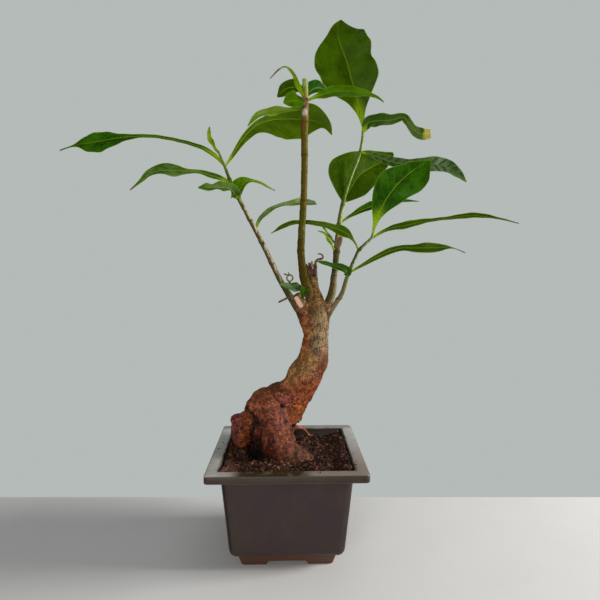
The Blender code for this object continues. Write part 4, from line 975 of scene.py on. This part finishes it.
def pot_surface():
    """Dark plastic with a brown plinth, a worn lip, and a pale rim that is stained and dirty. Painted shade
    lies under the lip, on the wall's corners, inside the pot and on the rim's edges, and painted light on
    the rim's left.
    """
    mat = Surface("pot_plastic", 0.48, 0.28)
    x, y, height = mat.parts(mat.place)
    side_x, side_y = mat.math("ABSOLUTE", x), mat.math("ABSOLUTE", y)
    out = mat.math("MAXIMUM", side_x, side_y)
    wall = mat.span(height, BODY_LOW, BODY_TOP, BODY_LOW_HALF, BODY_TOP_HALF, smooth=False)
    corner = mat.minus(mat.math("MINIMUM", side_x, side_y), wall)
    cloud = mat.noise(34, 3, 0.55)
    smudge = mat.noise(9, 4, 0.6, rise=0.4)

    body = mat.ramp(cloud, (0.3, (49, 34, 38)), (0.5, (51, 37, 38)), (0.7, (51, 41, 33)))
    body = mat.tinge(body, (74, 60, 52), smudge, 0.5, 0.8, 0.3)
    # Painted shade on the wall under the lip
    body = mat.tinge(body, (38, 28, 28), height, UNDER_LIP, LIP_LOW, 0.45)
    # Painted shade on the wall's rounded corners
    body = mat.tinge(body, (34, 26, 22), corner, -5.0, -1.5, 0.7)
    body = mat.tinge(body, (82, 52, 32), height, *PLINTH_TONE, 0.75)

    lip = mat.mix(mat.span(smudge, 0.3, 0.7), (48, 36, 24), (54, 44, 34))
    lip = mat.tinge(lip, (92, 80, 70), height, LIP_LOW + 1.3, LIP_LOW + 0.3, 0.5)
    body = mat.tinge(body, lip, height, LIP_LOW - 0.2, LIP_LOW + 0.1)

    rim = mat.mix(mat.span(y, -POT_WIDTH / 2, POT_WIDTH / 2), (142, 130, 118), (200, 200, 198))
    # Painted light on the left of the rim, lifting the shadow that the plant casts there
    rim = mat.tinge(rim, (212, 212, 204), x, -30, -POT_WIDTH / 2, 0.6)
    rim = mat.tinge(rim, (140, 132, 128), y, 58, 68, 0.7)
    rim = mat.tinge(rim, (120, 110, 98), smudge, 0.35, 0.75, 0.3)
    stain = mat.times(mat.span(mat.off(x, STAIN_MIDDLE), *STAIN_FADE), mat.span(y, *STAIN_DEPTH))
    rim = mat.mix(mat.times(stain, mat.span(smudge, 0.25, 0.5, 0.6, 1.0)), rim, (52, 38, 14))
    # Soil dirt along the rim's inner edge, which is also painted shade where the rim slopes into the pot
    dirt = mat.times(mat.span(out, OPENING_HALF + 2.2, OPENING_HALF + 0.7),
                     mat.span(smudge, 0.3, 0.6, 0.3, 0.9))
    rim = mat.mix(dirt, rim, (58, 44, 34))
    # Painted shade along the rim's rounded outer edge
    rim = mat.tinge(rim, (60, 54, 44), out, POT_WIDTH / 2 - 1.0, POT_WIDTH / 2 - 0.2, 0.9)
    body = mat.tinge(body, rim, height, POT_HEIGHT - 0.9, POT_HEIGHT - 0.3)

    # Painted shade, with soil stain, over the inside walls of the pot
    inside = mat.times(mat.span(mat.minus(out, wall), -0.6, -1.5),
                       mat.span(height, BODY_LOW + BODY_CORNER, BODY_LOW + BODY_CORNER + 3))
    body = mat.mix(inside, body, (27, 15, 8))
    body = mat.tinge(body, (104, 94, 84), mat.cells(7.0, 0.35), 0.05, 0.0, 0.25)
    mat.set("Base Color", body)
    mat.set("Roughness", mat.span(smudge, 0.3, 0.8, 0.38, 0.54))
    mat.bump(mat.noise(0.55, 3, 0.7), 0.03, 0.6)
    mat.bump(mat.noise(16, 2), 0.25, 0.35)
    return mat


def ground(x, y):
    """The soil's surface: a low mound round the trunk, swells, dents and crumbs."""
    flat = Vector((x, y, 0))
    height = SOIL_LEVEL + SOIL_MOUND * math.exp(-(x * x + y * y) / SOIL_MOUND_RADIUS ** 2)
    height += noise.noise(flat / SOIL_SWELL_SPACING) * SOIL_SWELL
    for spacing, size in SOIL_RELIEF:
        height += noise.noise(flat / spacing + Vector((spacing, 0, 0))) * size
    height += SOIL_BANK * float(smoothstep(SOIL_BANK_START, SOIL_HALF, abs(x)))
    height -= SOIL_BACK_DROP * float(smoothstep(SOIL_BACK_START, SOIL_HALF, y))
    for hx, hy, width, deep in SOIL_HOLLOWS:
        height -= deep * math.exp(-((x - hx) ** 2 + (y - hy) ** 2) / width ** 2)
    return height


def pot_corner(x, y):
    """Draws a point of the square bed in from the pot's rounded corners."""
    corner = BODY_CORNER - WALL
    dx, dy = (max(abs(value) - SOIL_HALF + corner, 0) / corner for value in (x, y))
    return (x - math.copysign(dx * corner * (1 - math.sqrt(1 - dy * dy / 2)), x),
            y - math.copysign(dy * corner * (1 - math.sqrt(1 - dx * dx / 2)), y))


def shade_cave(mat, colour):
    """The soil's colour, with painted shade that turns black in the cave between the roots."""
    return mat.tinge(colour, (6, 5, 3), mat.away_from(CAVE), CAVE_REACH, CAVE_REACH * 0.55, 0.95)


def build_soil():
    """A closed bed of soil, with loose crumbs over it."""
    steps = np.linspace(-SOIL_HALF, SOIL_HALF, SOIL_CELLS)
    points = [(*pot_corner(x, y), ground(x, y)) for y in steps for x in steps]
    under = [(x, y, SOIL_LEVEL - SOIL_SKIRT) for x, y, _ in points]
    bed = add_object("soil_bed", make_mesh("soil_bed", *slab(points, under, SOIL_CELLS, SOIL_CELLS)))
    mat = Surface("potting_soil", 0.95, 0.2)
    dirt = mat.ramp(mat.noise(2.6, 5, 0.7), (0.3, (28, 17, 11)), (0.48, (54, 34, 23)),
                    (0.62, (80, 52, 37)), (0.78, (110, 80, 60)))
    mat.set("Base Color", shade_cave(mat, dirt))
    mat.bump(mat.noise(1.3, 4, 0.7), 0.7)
    finish_piece(bed, mat, "potting_soil", "soil")

    loose = build_crumbs()
    loose.data.shade_flat()
    mat = Surface("soil_crumbs", 0.88, 0.25)
    colour = mat.tinge(mat.attribute("marks", "Color"), (40, 26, 18), mat.noise(0.9), 0.3, 0.7, 0.5)
    mat.set("Base Color", shade_cave(mat, colour))
    mat.bump(mat.noise(0.6), 0.25)
    finish_piece(loose, mat, "potting_soil")


def build_crumbs():
    """Crumbs and chips over the soil and dirt on the rim, whose marks hold their colours."""
    draw = random.Random(SEED)
    crumbs = Shape()
    coarse, fine = icosphere(1), icosphere(2)
    for many, small, large, stretch, colours in CRUMBS:
        for _ in range(many):
            x, y = (draw.uniform(-SOIL_HALF, SOIL_HALF) for _ in range(2))
            size = small + (large - small) * draw.random() ** 3
            ball, sides = fine if size > FINE_CRUMB else coarse
            jag = np.array([draw.uniform(*CRUMB_JAG) for _ in ball])
            scale = np.array([draw.uniform(*sizes) for sizes in (CRUMB_WIDE, CRUMB_WIDE, CRUMB_HIGH)]) * size
            scale[0] *= draw.uniform(1, stretch)
            turn, tip = draw.uniform(0, 2 * math.pi), draw.gauss(0, CRUMB_TILT)
            c, s, ct, st = math.cos(turn), math.sin(turn), math.cos(tip), math.sin(tip)
            form = ball * jag[:, None] * scale @ np.array([(ct, 0, st), (0, 1, 0), (-st, 0, ct)])
            form = form @ np.array([(c, s, 0), (-s, c, 0), (0, 0, 1)])
            shade = draw.uniform(*CRUMB_SHADE)
            colour = np.array(screen(*draw.choice(colours))[:3]) * shade
            place = (x, y, ground(x, y) + size * draw.uniform(*CRUMB_RISE))
            crumbs.add(form + place, sides, marks=np.tile(colour, (len(form), 1)))
    for x, y, size, colour in RIM_DIRT:
        ball, sides = coarse
        jag = np.array([draw.uniform(*DIRT_JAG) for _ in ball])
        crumbs.add(ball * jag[:, None] * size + (x, y, POT_HEIGHT + size * DIRT_RISE), sides,
                   marks=np.tile(screen(*colour)[:3], (len(ball), 1)))
    return crumbs.object("soil_crumbs")


def nearest_share(places, line):
    """How far each place is from a line of points, and which share of the way along it is nearest."""
    away = np.linalg.norm(places[:, None, :] - line[None, :, :], axis=2)
    best = away.argmin(axis=1)
    return away[np.arange(len(places)), best], best / (len(line) - 1)


def round_mark(flat, x, z, wide):
    """A soft round mark on the front, 1 in its middle."""
    return np.exp(-((flat - (x, z)) ** 2).sum(axis=1) / wide ** 2)


def shape_bark(points, normals):
    """How far each point of the trunk moves out, and its marks: crease (painted shade in creases, pits and
    furrows, with the cut's dark rim), bare wood, weathered bark.
    """
    flat, height = points[:, [0, 2]], points[:, 2]
    front = 1 - smoothstep(-0.25, 0.35, normals[:, 1])
    move = np.zeros(len(points))
    crease = np.zeros(len(points))
    uneven = 0.9 + 0.5 * value_noise(points, 4.5, 8)
    for route, wide, deep in CREASES:
        away, share = nearest_share(flat, curve_through(np.array(route, float)))
        cut = np.exp(-(away / wide) ** 2) * front * uneven * np.sin(math.pi * (0.04 + 0.92 * share)) ** 0.6
        move -= deep * cut
        crease = np.maximum(crease, cut * min(deep / BLACK_CREASE, 1))
    for x, z, wide, deep in PITS:
        cut = round_mark(flat, x, z, wide) * front
        move -= deep * cut
        crease = np.maximum(crease, cut * min(deep / BLACK_PIT, 1))
    for x, z, wide, high in LUMPS:
        move += high * round_mark(flat, x, z, wide) * front
    knobbly = 1 - SMOOTHER * smoothstep(*KNOBBLY, height)
    move += relief_noise(points, BARK_KNOBS) * knobbly
    move += relief_noise(points, BARK_LUMPS, 1) * knobbly + relief_noise(points, BARK_GRAIN, 2)
    spacing, wide, deep, dark = FURROWS
    furrows = np.abs(value_noise(points * (1, 1, 0.7), spacing, 3))
    cut = np.exp(-(furrows / wide) ** 2) * knobbly * smoothstep(-0.1, 0.3, value_noise(points, 9, 6))
    move -= deep * cut
    crease = np.maximum(crease, dark * cut)
    move += relief_noise(points * (0.12, 0.12, 1), BARK_RINGS, 4) * smoothstep(*RINGED, height)

    *ends, radius, rim = CUT_FACE
    away, _ = nearest_share(flat, curve_through(np.array(ends)))
    wood = smoothstep(radius + 0.5, radius - 0.5, away) * front
    crease = np.maximum(crease, np.exp(-((away - radius - rim) / rim) ** 2) * front * 0.35)
    move = move * (1 - 0.9 * wood)
    ragged = value_noise(points, 3, 7)
    weathered = smoothstep(-WEATHERED_SOFT, WEATHERED_SOFT, points[:, 0] - WEATHERED_X + ragged * 2)
    weathered *= smoothstep(-0.5, 0.5, height - WEATHERED_MARK + ragged * 0.6)
    weathered *= 1 - smoothstep(*WEATHERED_FADE, height)
    return move, np.column_stack([crease, wood, weathered])


def tint_bark(points):
    """The bark's colour at each point, drawn from the tints that lie nearest, with ragged borders."""
    ragged = np.column_stack([value_noise(points, 5, seed) * RAGGED for seed in (5, 6)])
    flat = points[:, [0, 2]] + ragged
    weight = np.full((len(points), 1), PLAIN_WEIGHT)
    colour = weight * screen(*PLAIN_BARK)[:3]
    for x, z, wide, high, shade in TINTS:
        near = np.exp(-((flat - (x, z)) ** 2 / (wide ** 2, high ** 2)).sum(axis=1))[:, None]
        weight = weight + near
        colour = colour + near * screen(*shade)[:3]
    return np.maximum(colour / weight - BARK_SHEEN, 0.001)


def trunk_form():
    """The limbs and knobs grown into one skin: its points, its outward directions and its faces."""
    heap = Shape()
    for route in TRUNK_LIMBS.values():
        heap.add(*sweep(route, LIMB_STEP, LIMB_SIDES, round_end=False))
    ball, sides = icosphere(3)
    for x, y, z, radius in TRUNK_KNOBS:
        heap.add(ball * radius + (x, y, z), sides)
    grown = heap.object("trunk_form")
    blend = grown.modifiers.new("Remesh", "REMESH")
    blend.mode = "VOXEL"
    blend.voxel_size = TRUNK_VOXEL * MM
    ease = grown.modifiers.new("Smooth", "SMOOTH")
    ease.factor = 0.5
    ease.iterations = TRUNK_SMOOTH_PASSES
    bake(grown)
    mesh = grown.data
    points = np.empty(3 * len(mesh.vertices), np.float32)
    normals = np.empty_like(points)
    mesh.vertices.foreach_get("co", points)
    mesh.vertices.foreach_get("normal", normals)
    faces = [tuple(face.vertices) for face in mesh.polygons]
    bpy.data.objects.remove(grown, do_unlink=True)
    return points.reshape(-1, 3) / MM, normals.reshape(-1, 3), faces


def stub_fibres(draw):
    """The routes of the fibres that stand up from the dead stub."""
    fibres = []
    for i in range(FIBRES):
        turn = 2 * math.pi * i * GOLDEN_SHARE
        away = STUB_SPREAD * math.sqrt((i + 0.5) / FIBRES)
        x, y, z = STUB_TOP[0] + away * math.cos(turn), STUB_TOP[1] + away * math.sin(turn), STUB_TOP[2]
        tall, thick = draw.uniform(*FIBRE_LENGTH), draw.uniform(*FIBRE_RADIUS)
        lean_x, lean_y = (draw.uniform(-most, most) for most in FIBRE_LEAN)
        fibres.append([(x, y, z, thick), (x + lean_x * 0.3, y + lean_y * 0.3, z + tall * 0.55, thick * 0.8),
                       (x + lean_x, y + lean_y, z + tall, thick * 0.35)])
    return fibres


def build_trunk():
    """The trunk's bark with its creases and colours, its thin root and the fibres of its dead stub."""
    points, normals, faces = trunk_form()
    move, marks = shape_bark(points, normals)
    points = points + normals * move[:, None]
    bark = Shape()
    bark.add(points, faces, marks=marks, tint=tint_bark(points))

    def add_twig(route, step, sides, relief, colour):
        form, skin = sweep(route, step, sides, relief)
        tint = np.tile(screen(*colour)[:3], (len(form), 1))
        bark.add(form, skin, marks=np.zeros_like(form), tint=tint)

    def knotty(points, radii):
        return relief_noise(points, ROOT_KNOTS)

    def stringy(points, radii):
        return relief_noise(points * (1, 1, 0.3), FIBRE_STRINGS) * radii

    add_twig(THIN_ROOT, STEM_STEP, TWIG_SIDES, knotty, THIN_ROOT_COLOUR)
    add_twig(DRY_CURL, FIBRE_STEP, FIBRE_SIDES, stringy, DRY_CURL_COLOUR)
    draw = random.Random(SEED)
    for route in stub_fibres(draw):
        add_twig(route, FIBRE_STEP, FIBRE_SIDES, stringy, draw.choice(FIBRE_COLOURS))
    finish_piece(bark.object("trunk_bark"), bark_surface(), "bark", "trunk")


def bark_surface():
    """Knobbly red-brown bark that turns streaked higher up, with painted glints, painted shade in its
    hollows and black painted shade in its creases, and bare wood.
    """
    mat = Surface("bark", 0.36, 0.2)
    crease, wood, weathered = mat.parts(mat.attribute("marks"))
    tint = mat.attribute("tint")
    dim, lit, glint_tint = (mat.mix(1.0, tint, light, "MULTIPLY")
                        for light in (BARK_DARK, BARK_LIGHT, BARK_GLINT))
    _, _, height = mat.parts(mat.place)
    tone = mat.noise(4.5, 5, 0.7, 0.6)
    streak = mat.noise(2.4, 4, 0.7, rise=0.35)
    fine = mat.noise(1.5, 3, 0.7, 0.8)
    patch = mat.noise(7, 2)
    ridge = mat.off(mat.noise(3.4, 4, 0.6, 1.0), 0.5)
    upper = mat.span(height, *STREAKED)
    tone = mat.plus(tone, mat.times(upper, mat.minus(streak, tone)))

    # Painted shade where the bump's tone is low, painted light where it is high, and painted shade in small
    # dips
    colour = mat.mix(mat.span(tone, 0.36, 0.6), dim, lit)
    colour = mat.tinge(colour, dim, fine, 0.42, 0.3, 0.12)
    # Painted glints along the ridges and in small sparks
    shine = mat.mix(0.15, glint_tint, (190, 140, 110))
    glint = mat.times(mat.span(ridge, 0.07, 0.01), mat.span(patch, 0.38, 0.6, 0.12, 0.7))
    spark = mat.times(mat.span(fine, 0.56, 0.66), mat.span(patch, 0.38, 0.6, 0.25, 0.9))
    colour = mat.mix(spark, mat.mix(glint, colour, shine), shine)
    pale = mat.times(mat.span(streak, 0.46, 0.6, 0, 0.95), weathered)
    colour = mat.mix(pale, colour, (132, 118, 86))
    dark = mat.times(mat.span(streak, 0.42, 0.32, 0, 0.3), weathered)
    colour = mat.mix(dark, colour, (54, 42, 26))
    # Painted shade, black in deep creases, pits and furrows, and the cut's own dark rim
    colour = mat.tinge(colour, (20, 8, 7), crease, 0.06, 0.6, 0.95)
    colour = mat.mix(wood, colour, mat.mix(tone, (196, 150, 122), (222, 190, 168)))
    mat.set("Base Color", colour)
    mat.set("Roughness", mat.span(tone, 0.35, 0.7, 0.55, 0.3))
    rough = mat.span(wood, 0, 1, 1, 0.15)
    mat.bump(tone, 1.2, rough)
    mat.bump(ridge, 1.0, rough)
    mat.bump(fine, 0.7, rough)
    return mat


def stem_relief(nodes):
    """Swellings at a stem's nodes, and small lumps and rings all along it."""
    def relief(points, radii):
        rings = relief_noise(points * (0.3, 0.3, 1), STEM_RINGS, 2) * radii
        move = relief_noise(points, STEM_LUMPS, 1) * radii + rings
        for height, size in nodes:
            ring = np.exp(-((points[:, 2] - height) / NODE_REACH) ** 2)
            move += size * ring * (0.75 + 0.5 * value_noise(points, 4, height))
        return move
    return relief


def build_stems():
    for name, route in STEMS.items():
        stem = Shape()
        relief = stem_relief(STEM_NODES[name])
        stem.add(*sweep(route, STEM_STEP, STEM_SIDES, relief, round_end=name != CUT_STEM))
        for twig in STEM_TWIGS.get(name, []):
            stem.add(*sweep(twig, 1.0, TWIG_SIDES, relief))
        made = stem.object(name + "_bark")
        if name == CUT_STEM:
            made.data.set_sharp_from_angle(angle=CUT_CREASE)
        finish_piece(made, stem_surface(name), "stem_bark", name)


def stem_surface(name):
    """Bands of colour up a stem, paler on its right with painted light, with specks, dark nodes and scars.
    """
    mat = Surface(name, 0.5, 0.06)
    _, _, height = mat.parts(mat.place)
    streak = mat.noise(2.0, 4, 0.6, rise=0.25)
    # Painted light: the side that faces +X, towards the window lamp, takes each band's lit colour
    aside, _, _ = mat.parts(mat.add("ShaderNodeTexCoord", out="Normal"))
    lit = mat.span(mat.plus(aside, mat.times(mat.minus(streak, 0.5), 2.4)), -0.1, 1.0)
    above = mat.plus(height, mat.times(streak, 2 * BAND_BLEND))
    colour = (0, 0, 0)
    for start, shaded, bright in STEM_BANDS[name]:
        colour = mat.tinge(colour, mat.mix(lit, shaded, bright), above, start, start + 2 * BAND_BLEND)
    spots = mat.cells(3.1, 0.6)
    colour = mat.tinge(colour, (150, 134, 96), spots, 0.22, 0.1, 0.3)
    colour = mat.tinge(colour, (44, 30, 12), mat.cells(4.3, 0.7), 0.24, 0.1, 0.65)
    for node, _ in STEM_NODES[name]:
        colour = mat.tinge(colour, (44, 32, 14), mat.off(height, node), 1.3, 0.4, 0.5)
    for place, wide, high, shade in STEM_SCARS.get(name, []):
        colour = mat.tinge(colour, shade, mat.away_from(place, (wide, wide, high)), 1.5, 0.8, 0.85)
    mat.set("Base Color", colour)
    mat.bump(streak, 0.35)
    mat.bump(spots, 0.3)
    return mat


def leaf_form(stem, route, sides, looks, veining):
    """A leaf as a thin closed shell with a midrib: its points, its faces and two sets of marks.

    The marks are the place across and along the blade and between its veins. The sizes are the distance
    from the midrib in mm, and 1 on the underside.
    """
    line = smooth_route(STEMS[stem], ROUTE_SAMPLES)[:, :3]
    base = line[np.argmin(np.linalg.norm(line - np.array(route[0]), axis=1))]
    route = [tuple(base)] + route[1:]
    length = route_length(route)
    rows = max(BLADE_LEAST_ROWS, int(length / BLADE_ROW))
    spine = smooth_route(route, rows)
    left, right = smooth_widths(sides[-1], rows), smooth_widths(sides[0], rows)
    share = np.linspace(0, 1, rows)
    ahead = unit(np.gradient(spine, axis=0))
    steps = np.linspace(0, 1, len(looks))
    face = np.column_stack([np.interp(share, steps, column) for column in np.array(looks, float).T])
    face = unit(face - ahead * (face * ahead).sum(axis=1, keepdims=True))
    side = np.cross(ahead, face)

    share = share[:, None]
    u = np.array(BLADE_COLUMNS)[None, :]
    half = np.where(u > 0, right[:, None], left[:, None])
    out = half * np.abs(u)
    full = np.minimum(half / 10, 1)
    along = share * length
    swing = np.sin(2 * math.pi * BLADE_WAVES * share + np.where(u > 0, WAVE_START_RIGHT, WAVE_START_LEFT))
    lift = out * math.sin(BLADE_FOLD) + BLADE_WAVE * swing * u * u * half / half.max()
    phase = (along - out * VEIN_LEAN * (1 + 0.4 * np.abs(u))) / VEIN_SPACING + np.where(u > 0, 0, VEIN_SHIFT)
    between = 0.5 - 0.5 * np.cos(2 * math.pi * phase)
    lift = lift + QUILT * veining * between * np.sqrt(np.abs(u) * (1 - np.abs(u))) * 2 * full
    ripple = np.sin(2 * math.pi * along / EDGE_RIPPLE_LENGTH + 3 * np.sign(u))
    lift = lift + EDGE_RIPPLE * ripple * u ** 4 * full
    lift = lift - GROOVE_DEPTH * np.exp(-(out / GROOVE_HALF) ** 2) * full
    thick = BLADE_EDGE + (BLADE_THICKNESS - BLADE_EDGE) * (1 - u ** 6)
    rib = RIB_DEPTH[0] + RIB_DEPTH[1] * (1 - share) ** 1.5
    rib = rib * np.exp(-(out / (RIB_HALF[0] + RIB_HALF[1] * (1 - share))) ** 2)
    sheet = (spine[:, None, :] + side[:, None, :] * (out * np.sign(u) * math.cos(BLADE_FOLD))[:, :, None]
             + face[:, None, :] * lift[:, :, None])
    top = sheet + face[:, None, :] * (thick / 2)[:, :, None]
    bottom = sheet - face[:, None, :] * (thick / 2 + rib)[:, :, None]
    points, faces = slab(top.reshape(-1, 3), bottom.reshape(-1, 3), rows, u.size)
    marks = np.stack(np.broadcast_arrays(u, share, phase), axis=2).reshape(-1, 3)
    sizes = [np.stack([out, 0 * out + below, 0 * out], axis=2).reshape(-1, 3) for below in (0, 1)]
    return points, faces, np.vstack([marks, marks]), np.vstack(sizes)


def leaf_surface(name, kind, dry_from, lime_to):
    """Green with paler veins, a lime stalk, a lime edge of painted rim light, painted sheen beside each side
    vein, and a dry tip, through which light shines.
    """
    dark, light, glow, share, roughness, veining = LEAF_KINDS[kind]
    mat = Surface(name, roughness, 0.06)
    u, v, phase = mat.parts(mat.attribute("marks"))
    out, under, _ = mat.parts(mat.attribute("sizes"))
    edge = mat.math("MAXIMUM", mat.math("ABSOLUTE", u), 0.02)
    rim = mat.minus(mat.math("DIVIDE", out, edge), out)
    fine = mat.noise(1.6)
    turn = mat.math("FRACT", phase)
    pulse = mat.off(turn, 0.5)
    grow = mat.span(v, *(STRIPED_GREENING if kind == "striped" else GREENING))
    colour = mat.mix(mat.times(mat.span(mat.noise(14), 0.35, 0.65), grow), dark, light)
    colour = mat.tinge(colour, glow, fine, 0.4, 0.6, 0.2)
    if kind == "striped":
        band = mat.times(mat.span(turn, 0.35, 0.5), mat.span(turn, 0.95, 0.75))
        colour = mat.mix(mat.times(band, grow), colour, (20, 54, 14))
    # Painted sheen: each space between side veins grows lighter towards one side
    colour = mat.tinge(colour, light, turn, 0.0, 1.0, veining * 0.5)
    vein = mat.times(mat.span(pulse, 0.45, 0.5, 0, veining), mat.span(edge, 1.0, 0.55))
    colour = mat.mix(vein, colour, tuple(min(255, value + 30) for value in glow))
    colour = mat.tinge(colour, (80, 108, 12), under, 0, 1, 0.4)
    lines = FAINT_LINES if kind in FAINT_KINDS else 1.0
    rib = mat.times(mat.span(out, 0.7, 0.3), mat.span(v, 1.0, 0.75, 0, 0.75 * lines))
    colour = mat.mix(rib, colour, (124, 152, 30))
    near = mat.plus(v, mat.times(out, 0.016))
    lime = mat.span(near, lime_to, lime_to * 0.35, 0, 0.85)
    colour = mat.mix(lime, colour, (156, 190, 16))
    # Painted rim light: a lime line along the edge of the blade
    colour = mat.tinge(colour, (128, 168, 8), rim, 0.9, 0.25, 0.6 * lines)
    ragged = mat.plus(v, mat.times(mat.minus(mat.noise(4), 0.5), 0.06))
    dry = mat.span(ragged, dry_from, dry_from + 0.05)
    mat.set("Base Color", mat.mix(dry, colour, DRY_COLOURS.get(name, DRY_COLOUR)))
    mat.bump(fine, 0.12)
    mat.bump(mat.span(pulse, 0.40, 0.5), veining, 0.7)
    through = mat.mix(lime, glow, (186, 210, 0))
    mat.let_light_through(share, mat.mix(dry, through, (120, 100, 74)))
    return mat


def build_leaves():
    for name, (stem, kind, dry_from, lime_to, route, sides, looks) in LEAVES.items():
        points, faces, marks, sizes = leaf_form(stem, route, sides, looks, LEAF_KINDS[kind][-1])
        mesh = make_mesh(name + "_blade", points, faces, marks=marks, sizes=sizes)
        mesh.set_sharp_from_angle(angle=BLADE_CREASE)
        blade = add_object(name + "_blade", mesh)
        finish_piece(blade, leaf_surface(name, kind, dry_from, lime_to), "leaf", name)


add_world()
add_lights()
add_camera()
add_floor()
build_pot()
build_soil()
build_trunk()
build_stems()
build_leaves()
